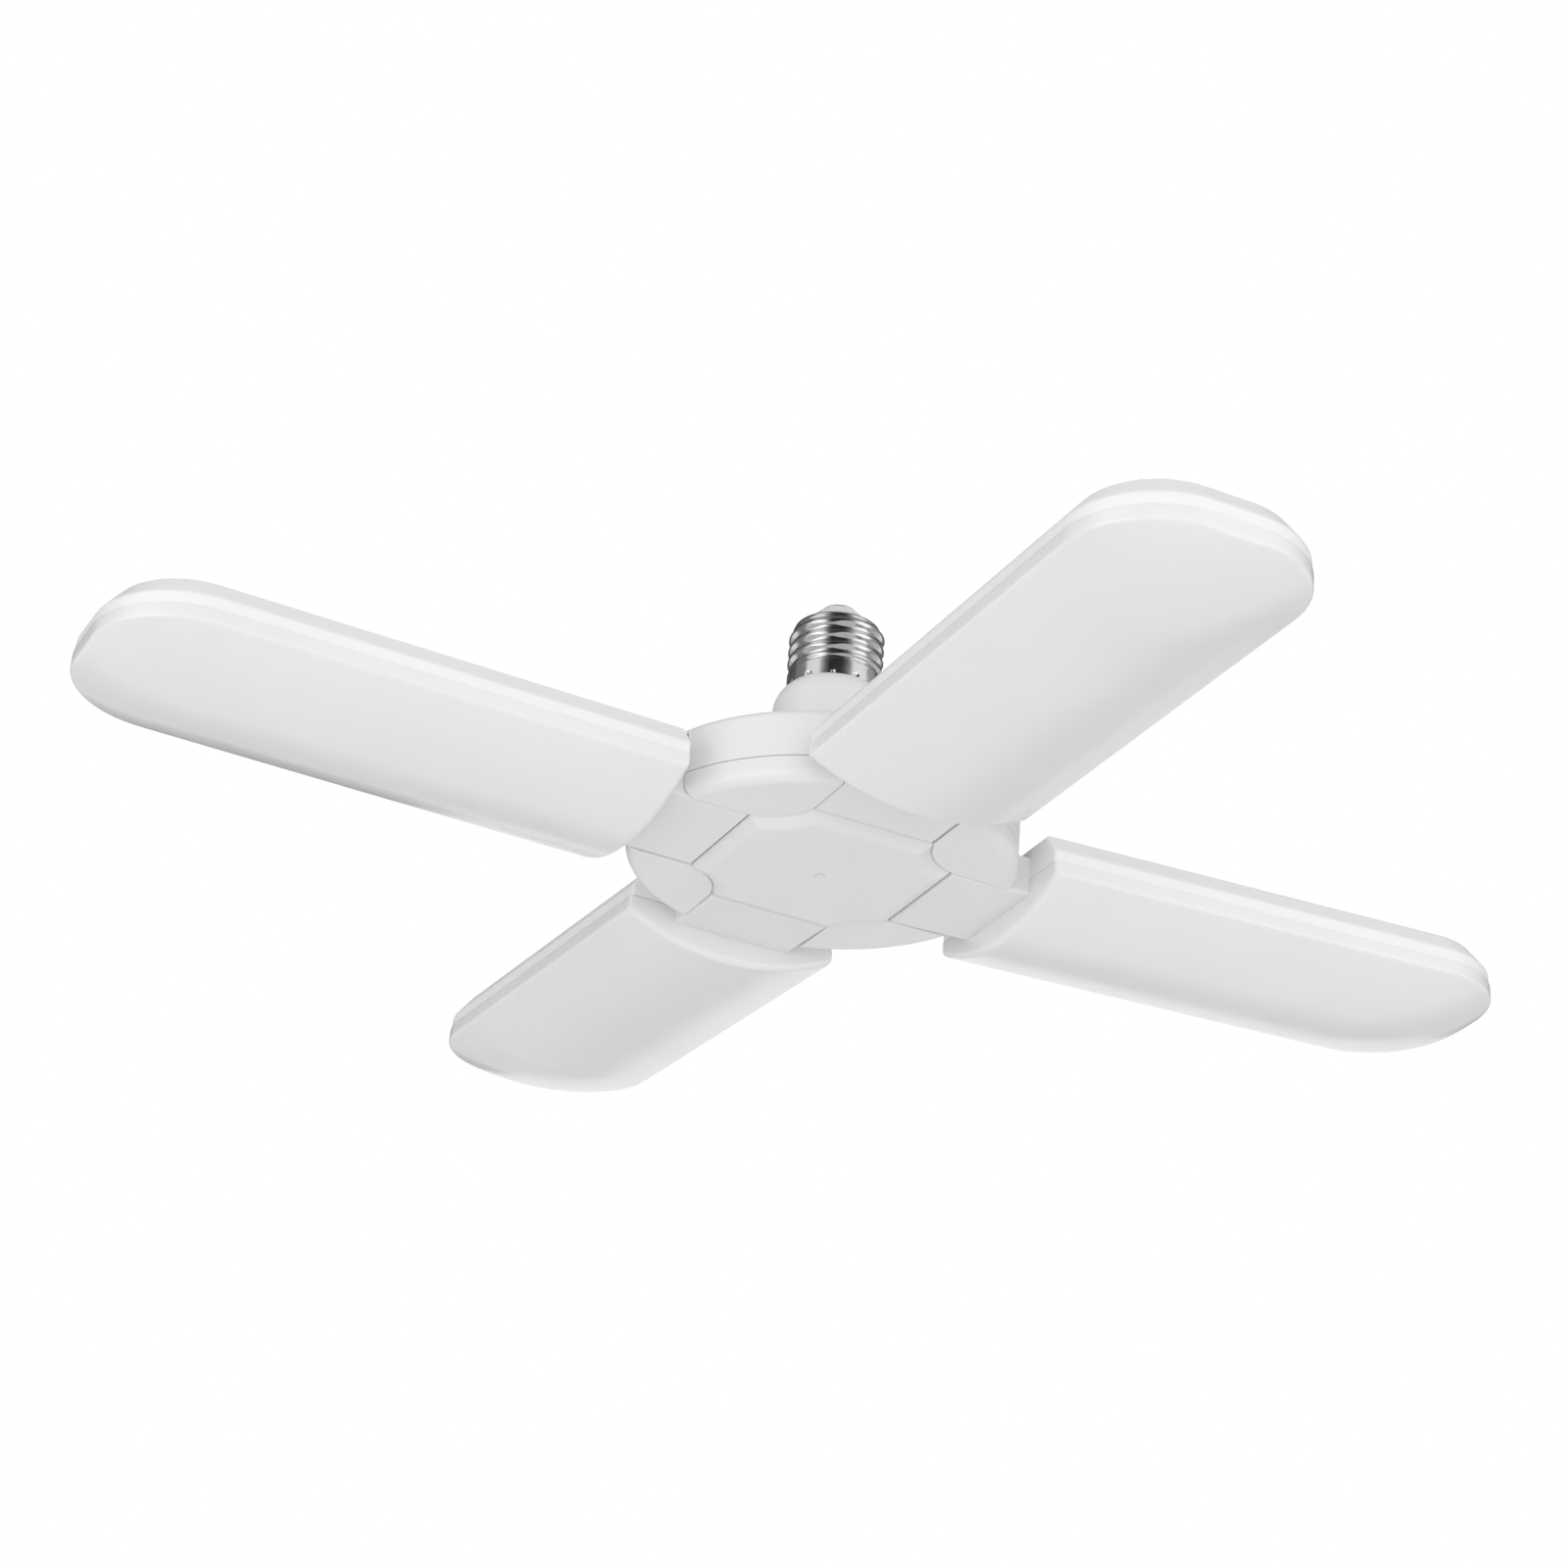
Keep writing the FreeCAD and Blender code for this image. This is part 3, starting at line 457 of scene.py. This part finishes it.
def install(name, mesh, slot, body, stands_for, sharp_angle, finish=None):
    """Put a finished mesh in the scene: smooth shading, finish, body and what it stands for."""
    mesh.shade_smooth()
    mesh.set_sharp_from_angle(angle=math.radians(sharp_angle))
    mesh.materials.clear()
    mesh.materials.append(FINISHES[finish or slot])
    piece = bpy.data.objects.new(name, mesh)
    bpy.context.scene.collection.objects.link(piece)
    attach(piece, body)
    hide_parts(*stands_for)
    return piece


def level_ring(outline, height):
    """The points of an outline, given as x and y, at one height."""
    x, y = outline
    return np.stack([x, y, np.full(x.size, height)], -1)


def on_blade(points, side):
    """Carry points from the level blade along +X to their side.

    They turn up about the hinge by the side's tilt, and then round the screw axis.
    """
    direction, tilt = SIDES[side]
    lift = math.radians(tilt)
    x = points[..., 0] - PIVOT_RADIUS
    y = points[..., 1]
    z = points[..., 2] - PARTING
    out = x * math.cos(lift) - z * math.sin(lift) + PIVOT_RADIUS
    high = x * math.sin(lift) + z * math.cos(lift) + PARTING
    turn = math.radians(direction)
    return np.stack([out * math.cos(turn) - y * math.sin(turn),
                     out * math.sin(turn) + y * math.cos(turn), high + FLOOR], -1)


def blade_outline(inset, root_inset, overhang=0.0):
    """One ring of the blade's plan, drawn in by an inset.

    Two straight sides, quarter-circle tip corners that shrink with the inset, a straight tip, and
    small quarter-circle corners at the root. Every ring has the same number of points in each
    part, so that rings join point to point.
    """
    half = max(BLADE_HALF + overhang - inset, 0.0)
    tip = BLADE_TIP + overhang - inset
    root = BLADE_ROOT + root_inset
    big = min(max(TIP_CORNER + overhang - inset, 0.0), half)
    small = min(max(ROOT_CORNER - root_inset, 0.0), half)
    quarter = np.linspace(0, math.pi / 2, 29)
    little = np.linspace(0, math.pi / 2, 11)
    side = np.linspace(root + small, tip - big, 61)[1:-1]
    across = np.linspace(-1, 1, 15)[1:-1]
    root_line = np.linspace(-1, 1, 33)[1:-1]
    x = np.concatenate([side, tip - big + big * np.sin(quarter), np.full(across.size, tip),
                        tip - big + big * np.cos(quarter), side[::-1],
                        root + small - small * np.sin(little), np.full(root_line.size, root),
                        root + small - small * np.cos(little)])
    y = np.concatenate([np.full(side.size, -half), -half + big - big * np.cos(quarter),
                        across * (half - big), half - big + big * np.sin(quarter),
                        np.full(side.size, half), half - small + small * np.cos(little),
                        -root_line * (half - small), -half + small - small * np.sin(little)])
    return x, y


def diffuser_outline(inset):
    """One ring of the milky cover's plan, which overhangs the back a little."""
    return blade_outline(inset, min(inset, FULL_INSET), OVERHANG)


def arch_depth(x, y, inset=0.0):
    """How far the arch hangs below its edge: a circular arc across the blade.

    The arc spans the local half width w and is h deep. In the tip w follows the round corners:
    with t the way through the corner, it loses corner times (1 - sqrt(1 - t^2)). The height h falls
    off a little earlier, as the full depth times (1 - s^1.6)^0.675 with s the way along the fall.
    """
    corner = TIP_CORNER + OVERHANG - inset
    tip = BLADE_TIP + OVERHANG - inset
    through = np.clip((x - tip + corner) / corner, 0.0, 1.0)
    width = BLADE_HALF + OVERHANG - inset - corner * (1.0 - np.sqrt(1.0 - through ** 2))
    way = np.clip((x - tip + ARCH_FALL_LENGTH) / ARCH_FALL_LENGTH, 0.0, 1.0)
    deep = (ARCH_DEPTH - inset) * (1.0 - way ** ARCH_FALL_START) ** ARCH_FALL_END
    deep = np.maximum(deep, 1e-3)
    radius = (width ** 2 + deep ** 2) / (2 * deep)
    reach = np.minimum(np.abs(y), width)
    return np.sqrt(radius ** 2 - reach ** 2) - (radius - deep)


def diffuser_shell(side):
    """The milky cover as one closed shell of rings.

    Outside: up from the middle line over the arch, round a small edge whose lift is
    r(1 - sqrt(1 - (1 - d/r)^2)) at a distance d from the outline, and up the wall to the seam; then
    over the wall's top and down the inside, one wall thickness in, to the inner arch's middle line.
    The root's end has the same rounding with a larger radius, taken from its own distance.
    """
    edge_round, root_round, inner_lift = 0.55, 1.7, 0.3
    insets = (31.5, 27.5, 23.5, 19.5, 15.8, 12.4, 9.4, 6.8, 4.8, 3.3, 2.2, 1.4, 0.9,
              0.55, 0.42, 0.3, 0.2, 0.12, 0.06, 0.02, 0.0)
    rings = []
    for inset in insets:
        x, y = diffuser_outline(inset)
        lift = edge_round * (1 - math.sqrt(1 - (1 - min(inset / edge_round, 1.0)) ** 2))
        near_root = 1 - np.clip((x - BLADE_ROOT) / root_round, 0.0, 1.0)
        root_lift = root_round * (1 - np.sqrt(1 - near_root ** 2))
        height = DIFFUSER_EDGE - arch_depth(x, y) + np.hypot(lift, root_lift)
        rings.append(np.stack([x, y, height], -1))
    low = rings[-1][:, 2]
    for share in (0.25, 0.5, 0.75, 0.97):
        rings.append(np.stack([x, y, low + (SEAM - 0.15 - low) * share], -1))
    for inset, height in ((0.05, SEAM - 0.04), (0.15, SEAM), (DIFFUSER_WALL, SEAM)):
        rings.append(level_ring(diffuser_outline(inset), height))
    for inset in (DIFFUSER_WALL, 4.0, 8.0, 13.0, 18.0, 24.0, 31.5):
        x, y = diffuser_outline(inset)
        height = DIFFUSER_EDGE + inner_lift - arch_depth(x, y, DIFFUSER_WALL)
        rings.append(np.stack([x, y, height], -1))
    return on_blade(np.stack(rings), side)


def root_lean(inset, height):
    """How far the root face is drawn in.

    By 0.25 mm at the rim, by nothing up the face, and by r - sqrt(r^2 - h^2) at the height h in
    the round at its top. On the flat top it follows the inset.
    """
    if height < ROOT_ROUND_START:
        return 0.25 if height < 4.8 else 0.0
    above = min(height - ROOT_ROUND_START, ROOT_ROUND)
    rounded = ROOT_ROUND - math.sqrt(ROOT_ROUND ** 2 - above ** 2)
    return min(rounded + max(inset - 5.9, 0.0), FULL_INSET)


def back_shell(side):
    """The back as one closed shell of rings, each with its inset and height.

    Inside from the ceiling's middle line to the rim, out under the rim, up the plain band, in
    along the slope, round its shoulder and over the flat top to the middle line.
    """
    wall = 2.0
    inside = ((31.1, 12.5), (20.0, 12.5), (6.9, 12.5), (2.0, 7.1), (2.0, 4.9), (1.9, 4.75))
    outside = ((0.3, 4.75), (0.08, 4.82), (0.0, 5.0), (0.0, 5.6), (0.0, 7.3), (0.02, 7.75),
               (0.12, 8.15), (0.32, 8.5), (1.0, 9.4), (2.3, 11.1), (3.6, 12.8), (4.35, 13.78),
               (4.6, 14.07), (4.95, 14.32), (5.4, 14.46), (5.9, 14.5), (7.5, 14.5),
               (12.0, 14.5), (20.0, 14.5), (31.1, 14.5))
    rings = [level_ring(blade_outline(inset, wall), height) for inset, height in inside]
    rings += [level_ring(blade_outline(inset, root_lean(inset, height)), height)
              for inset, height in outside]
    return on_blade(np.stack(rings), side)


def back_ribs(side):
    """Fine raised ribs along the back: flat elliptical bars whose ends taper like an ellipse."""
    half_width, rib_rise, rib_sink, taper_length = 0.65, 0.7, 0.3, 1.2
    shells = []
    along = (1 - np.cos(np.linspace(0, math.pi, 41))) / 2
    around = np.linspace(0, 2 * math.pi, 24, endpoint=False)
    for number in range(RIB_COUNT):
        middle = (number - RIB_COUNT // 2) * RIB_PITCH
        start, end = BLADE_ROOT + RIB_MARGIN, rib_end(middle)
        x = start + (end - start) * along
        taper = np.sqrt(np.clip(np.minimum(x - start, end - x) / taper_length, 0, 1))
        taper = np.sqrt(1 - (1 - taper ** 2) ** 2)
        y = middle + half_width * np.cos(around)[None, :] * taper[:, None]
        high = np.sin(around)[None, :] * taper[:, None]
        z = BLADE_TOP + np.where(high > 0, rib_rise * high, rib_sink * high)
        points = np.stack([np.broadcast_to(x[:, None], y.shape), y, z], -1)
        shells.append(on_blade(points, side))
    return shells


def rib_end(y):
    """Where a rib stops: 0.6 mm inside the outline of the flat top."""
    inset = SLOPE_INSET + 0.6
    corner = TIP_CORNER - inset
    beyond = max(abs(y) - (BLADE_HALF - inset - corner), 0.0)
    return BLADE_TIP - inset - corner + math.sqrt(corner ** 2 - beyond ** 2)


def plate_ring(inset, height):
    """One ring of the centre plate: four straight sides joined by arcs hollowed round the lobes.

    Drawn in by an inset, a side moves towards the axis and an arc's radius grows about its fixed
    centre; each part keeps its number of points.
    """
    half, centre, radius = PLATE_HALF - inset, LOBE_CENTRE, PLATE_HOLLOW + inset
    reach = centre - math.sqrt(radius ** 2 - (centre - half) ** 2)
    side = np.linspace(-reach, reach, 33)[:-1]
    start = math.atan2(reach - centre, half - centre)
    finish = math.atan2(half - centre, reach - centre)
    start, finish = (a + 2 * math.pi if a < 0 else a for a in (start, finish))
    sweep = np.linspace(start, finish, 41)[:-1]
    x = np.concatenate([np.full(side.size, half), centre + radius * np.cos(sweep)])
    y = np.concatenate([side, centre + radius * np.sin(sweep)])
    quarters = [(x, y), (-y, x), (-x, -y), (y, -x)]
    return level_ring([np.concatenate(both) for both in zip(*quarters)], height)


def centre_plate():
    """The plate: its flat face with the gate mark in the middle, the rounded rim, and the inside.

    Near the axis the rings are circles; further out they blend into the plate's own outline. The
    rim is part of an ellipse, from the slope `flat` where it leaves the face to `steep` at the
    side: its share inwards follows the sine of the slope and its share upwards the cosine.
    """
    face, top, rim = -2.1, 0.6, 3.7
    ceiling = face + 1.7
    flat, steep = math.radians(22), math.radians(76)
    gate_mark = ((0.0, 0.16), (0.35, 0.16), (0.5, 0.1), (0.58, -0.06), (0.64, -0.5), (1.25, -0.5),
                 (1.5, -0.42), (1.7, -0.2), (1.8, -0.03), (1.9, 0.0), (2.6, 0.0))
    outline = plate_ring(rim, face)
    angle = np.arctan2(outline[:, 1], outline[:, 0])
    rings = [level_ring((radius * np.cos(angle), radius * np.sin(angle)), face - drop)
             for radius, drop in gate_mark]
    circle = rings[-1]
    for share in (0.2, 0.45, 0.7, 0.9, 0.985):
        rings.append(circle * (1 - share) + outline * share)
    for turn in np.linspace(flat, steep, 14):
        inward = (math.sin(steep) - math.sin(turn)) / (math.sin(steep) - math.sin(flat))
        upward = (math.cos(flat) - math.cos(turn)) / (math.cos(flat) - math.cos(steep))
        rings.append(plate_ring(rim * inward, face + (top - face) * upward))
    for inset, height in ((0.4, top), (2.2, top), (3.6, ceiling), (4.4, ceiling)):
        rings.append(plate_ring(inset, height))
    rings.append(rings[-1] * np.array([0.0, 0.0, 1.0]))
    rings = np.stack(rings)
    rings[..., 2] += FLOOR
    return rings


def turned(profile, count=128):
    """A closed profile of (radius, height) turned round the screw axis."""
    profile = np.array(profile, float)
    angle = np.linspace(0, 2 * math.pi, count, endpoint=False)
    radius, height = profile[:, 0][:, None], profile[:, 1][:, None]
    rings = np.broadcast_arrays(radius * np.cos(angle), radius * np.sin(angle), height)
    return np.stack(rings, -1)


def rise(t):
    """A smooth step from 0 to 1: t^2 (3 - 2t)."""
    t = np.clip(t, 0.0, 1.0)
    return t * t * (3 - 2 * t)


def screw_shell():
    """The screw shell: a rounded thread drawn as a height over angle and height.

    The radius is the core plus the thread depth times the 0.9th power of (1 + cos)/2 of the phase
    along the pitch, so that crest and root are both round. It fades in and out at the thread's
    ends. The skirt below it is plain, with a row of small crimp dimples, each a Gaussian bell, and
    the rim is rolled in at the top.
    """
    count = 288
    crest_height, thread_low, thread_high = -19.45, -21.3, -7.2
    skirt_top, skirt_step = -21.9, 0.95
    dimple_count, dimple_height, dimple_half, dimple_depth = 12, -25.9, 0.55, 0.45
    angle = np.linspace(0, 2 * math.pi, count, endpoint=False)
    z = np.concatenate([np.linspace(SHELL_BOTTOM, -21.6, 30), np.linspace(-21.4, -7.6, 126)])
    z = z[:, None]
    turn = angle[None, :] / (2 * math.pi)
    phase = (z - crest_height) / THREAD_PITCH - turn
    ridge = (1 + np.cos(2 * math.pi * phase)) / 2
    fade = rise((z - thread_low - 0.9 * turn) / 1.3) * rise((thread_high - z) / 1.8)
    body = CORE_RADIUS + THREAD_DEPTH * ridge ** 0.9 * fade
    skirt = SKIRT_RADIUS - skirt_step * rise((z - skirt_top) / 0.9)
    radius = np.maximum(body, skirt)
    dimples = np.zeros_like(radius)
    for number in range(dimple_count):
        middle = math.radians(-148 + 360 // dimple_count * number)
        away = (angle - middle + math.pi) % (2 * math.pi) - math.pi
        across = away[None, :] * SKIRT_RADIUS / dimple_half
        dimples += np.exp(-(across ** 2 + ((z - dimple_height) / 0.45) ** 2))
    radius = radius - dimple_depth * dimples
    outside = np.stack(np.broadcast_arrays(radius * np.cos(angle), radius * np.sin(angle), z), -1)
    rim_and_inside = [(12.03, -7.3), (11.9, -6.9), (11.65, -6.58), (11.3, -6.38), (10.8, -6.3),
                      (9.6, -6.3), (9.6, -6.9), (11.2, -6.9), (11.45, -7.4), (11.45, -21.3),
                      (12.4, -21.9), (12.4, SHELL_BOTTOM)]
    return np.concatenate([outside, turned(rim_and_inside, count), outside[:1]])


def base_insulator():
    """The insulating cone: plug in the shell, sloped face, and a round shoulder at the contact."""
    return turned([(0.0, -10.6), (11.3, -10.6), (11.3, -7.5), (9.46, -7.5), (9.46, -7.1),
                   (9.4, -6.95), (9.3, -6.5), (8.95, -5.6), (8.45, -4.65), (7.85, -3.75),
                   (7.15, -2.9), (6.4, -2.1), (5.6, -1.5), (5.35, -1.2), (5.1, -1.02),
                   (4.8, -1.0), (0.0, -1.0)])


def centre_contact():
    """The contact button with a domed face and rounded edge, and its stem."""
    return turned([(0.0, -11.2), (1.5, -11.2), (1.5, -1.0), (4.45, -1.0), (4.62, -0.94),
                   (4.7, -0.8), (4.7, -0.55), (4.62, -0.36), (4.4, -0.2), (3.9, -0.1),
                   (2.6, -0.03), (0.0, 0.0)], 96)


def carried_over(node, slot, body, parting_gap=0.0):
    """A CAD node with moulded edges: its own mesh merged, flat faces joined, sharp edges rounded.

    A parting gap lifts the rim on the hub's outer wall by that much, which leaves a fine wedge.
    """
    edge_angle = 40.0
    mesh = frame["nodes"][node].data.copy()
    mesh.name = node + "_moulded"
    tidy = bmesh.new()
    tidy.from_mesh(mesh)
    bmesh.ops.remove_doubles(tidy, verts=tidy.verts, dist=1e-6)
    bmesh.ops.dissolve_limit(tidy, angle_limit=math.radians(0.4),
                             verts=tidy.verts, edges=tidy.edges)
    tidy.to_mesh(mesh)
    tidy.free()
    points = np.empty(len(mesh.vertices) * 3, np.float32)
    mesh.vertices.foreach_get("co", points)
    points = points.reshape(-1, 3)
    on_rim = np.abs(points[:, 2] - (FLOOR + PARTING) / 1000) < 1e-5
    on_rim &= np.hypot(points[:, 0], points[:, 1]) > OUTER_WALL / 1000
    points[on_rim, 2] += parting_gap
    mesh.vertices.foreach_set("co", points.ravel())
    piece = install(node + "_moulded", mesh, slot, body, [node], edge_angle)
    round_edges = piece.modifiers.new("rounded_edges", "BEVEL")
    round_edges.width = MOULDED_EDGE
    round_edges.segments = 2
    round_edges.limit_method = "ANGLE"
    round_edges.angle_limit = math.radians(edge_angle)
    round_edges.use_clamp_overlap = True
    piece.modifiers.new("even_shading", "WEIGHTED_NORMAL").keep_sharp = True


# ================================================================ assembly
dress_cad_nodes()
make_piece("screw_shell_rolled", [screw_shell()], "nickel_shell", "hub", ["screw_shell"], 50.0)
make_piece("insulator_cone", [base_insulator()], "base_insulator", "hub", ["base_insulator"])
make_piece("contact_button", [centre_contact()], "contact_metal", "hub", ["centre_contact"])
make_piece("centre_plate_moulded", [centre_plate()], "white_cover", "hub", ["centre_plate"])
carried_over("hub_top_cover", "white_cover", "hub", PARTING_WEDGE)
carried_over("hub_bottom_cover", "white_cover", "hub")
for side in SIDES:
    blade = side + "_blade"
    make_piece(blade + "_diffuser_milky", [diffuser_shell(side)], "milky_diffuser", blade,
               [blade + "_diffuser"])
    # The backs take the paler copy of the hub's white, which paints extra light onto them
    make_piece(blade + "_back_ribbed", [back_shell(side)] + back_ribs(side), "white_cover", blade,
               [blade + "_back"], finish="white_back_painted_light")
    carried_over(blade + "_hinge_arm", "white_cover", blade)


# ================================================================ stage, light and camera
def seen_or_mirrored(f):
    """1 where the camera, metal, gloss or glass sees a surface, and 0 where it only gives light."""
    path = [f.node("ShaderNodeLightPath", {}, {}, name)
            for name in ("Is Camera Ray", "Is Glossy Ray", "Is Transmission Ray")]
    return f.zero_to_one(path[0] + path[1] + path[2])


def stage_mesh(name, points, quads):
    """An object that belongs to the studio, not to the lamp."""
    mesh = bpy.data.meshes.new(name)
    mesh.from_pydata(points, [], quads)
    thing = bpy.data.objects.new(name, mesh)
    bpy.context.scene.collection.objects.link(thing)
    return thing


def stage():
    """A wide pale floor far below the light, white to the camera except where shadow falls."""
    corners = [(-1, -1), (1, -1), (1, 1), (-1, 1)]
    floor = stage_mesh("studio_floor", [(x * FLOOR_HALF, y * FLOOR_HALF, FLOOR_HEIGHT)
                                        for x, y in corners], [(0, 1, 2, 3)])
    material, f = new_finish("floor_paint")
    seen = seen_or_mirrored(f)
    paint = f.coated(Base_Color=f.blend(f.noise(3.0), grey(0.88), grey(0.9)), Roughness=0.9)
    glow = f.node("ShaderNodeEmission", {}, {"Color": grey(1), "Strength": 1.0})
    f.finish(f.node("ShaderNodeMixShader", {}, {0: seen * 0.9, 1: paint, 2: glow}))
    floor.data.materials.append(material)


def sky(level):
    """An even pale surround: white where the camera, metal or gloss sees it, softer as a light."""
    world = bpy.data.worlds.new("studio")
    bpy.context.scene.world = world
    world.use_nodes = True
    f = Finish(world.node_tree)
    strength = seen_or_mirrored(f) * (1 - level) + level
    light = f.node("ShaderNodeBackground", {}, {"Color": grey(1), "Strength": strength})
    f.node("ShaderNodeOutputWorld", {}, {"Surface": light})


def felt_screen(name, left, right, low, high, shade, away):
    """A felt screen round the set, which shows only as a darker band in metal and gloss.

    It is a patch of a sphere about the lamp: the point in the direction of an azimuth, counted
    from the camera's side towards the right, and of a height angle above the horizon.
    """
    across = np.radians(np.linspace(left, right, 25) + CAMERA_SIDE)[None, :]
    height = np.radians(np.linspace(low, high, 17))[:, None]
    direction = np.broadcast_arrays(np.cos(across) * np.cos(height),
                                    np.sin(across) * np.cos(height), np.sin(height))
    points = away * np.stack(direction, -1)
    quads = grid_quads(height.size, across.size, False)
    screen = stage_mesh(name, points.reshape(-1, 3), quads.tolist())
    material, f = new_finish(name + "_felt")
    felt = f.blend(f.noise(30.0), grey(shade), grey(shade * 1.2))
    f.finish(f.coated(Base_Color=felt, Roughness=0.95))
    screen.data.materials.append(material)
    screen.visible_camera = screen.visible_diffuse = screen.visible_shadow = False


def soft_box(name, place, width, height, power, mirrored):
    """A rectangular softbox that faces the lamp."""
    light = bpy.data.lights.new(name, "AREA")
    light.shape = "RECTANGLE"
    light.size, light.size_y, light.energy = width, height, power
    box = bpy.data.objects.new(name, light)
    box.location = place
    aim = Vector(LAMP_MIDDLE) - Vector(place)
    box.rotation_euler = aim.to_track_quat("-Z", "Y").to_euler()
    box.visible_glossy = mirrored
    bpy.context.scene.collection.objects.link(box)


def camera():
    """The photograph's view, from the fitted camera's angles, distance and focal length.

    It stands back from the middle of the hub's lowest face by the distance, and aside and below
    by the offset of that point's pixel from the photograph's middle, times distance over focal
    length.
    """
    azimuth, elevation, roll = (math.radians(a) for a in (AZIMUTH, ELEVATION, ROLL))
    back = Vector((math.sin(azimuth) * math.cos(elevation),
                   -math.cos(azimuth) * math.cos(elevation), math.sin(elevation)))
    forward = -back
    right = forward.cross(Vector((0, 0, 1))).normalized()
    down = forward.cross(right)
    level_right = math.cos(roll) * right + math.sin(roll) * down
    level_down = -math.sin(roll) * right + math.cos(roll) * down
    aside = (HUB_PIXEL_ACROSS - PHOTO_PIXELS / 2) / FOCAL_PIXELS * CAMERA_DISTANCE
    below = (HUB_PIXEL_DOWN - PHOTO_PIXELS / 2) / FOCAL_PIXELS * CAMERA_DISTANCE
    offset = aside * level_right + below * level_down + CAMERA_DISTANCE * forward
    place = Vector((0, 0, FLOOR / 1000)) - offset
    lens = bpy.data.cameras.new("photo_view")
    lens.sensor_width = SENSOR_WIDTH
    lens.lens = FOCAL_PIXELS / PHOTO_PIXELS * SENSOR_WIDTH
    lens.clip_start = 0.01
    seen_from = bpy.data.objects.new("photo_view", lens)
    turn = Matrix((level_right, -level_down, -forward)).transposed()
    seen_from.matrix_world = Matrix.Translation(place) @ turn.to_4x4()
    bpy.context.scene.collection.objects.link(seen_from)
    bpy.context.scene.camera = seen_from


stage()
sky(SKY_LIGHT)
for soft_box_settings in SOFT_BOXES:
    soft_box(*soft_box_settings)
for felt_screen_settings in FELT_SCREENS:
    felt_screen(*felt_screen_settings)
camera()
bpy.context.scene.view_settings.view_transform = "Standard"
bpy.context.view_layer.update()
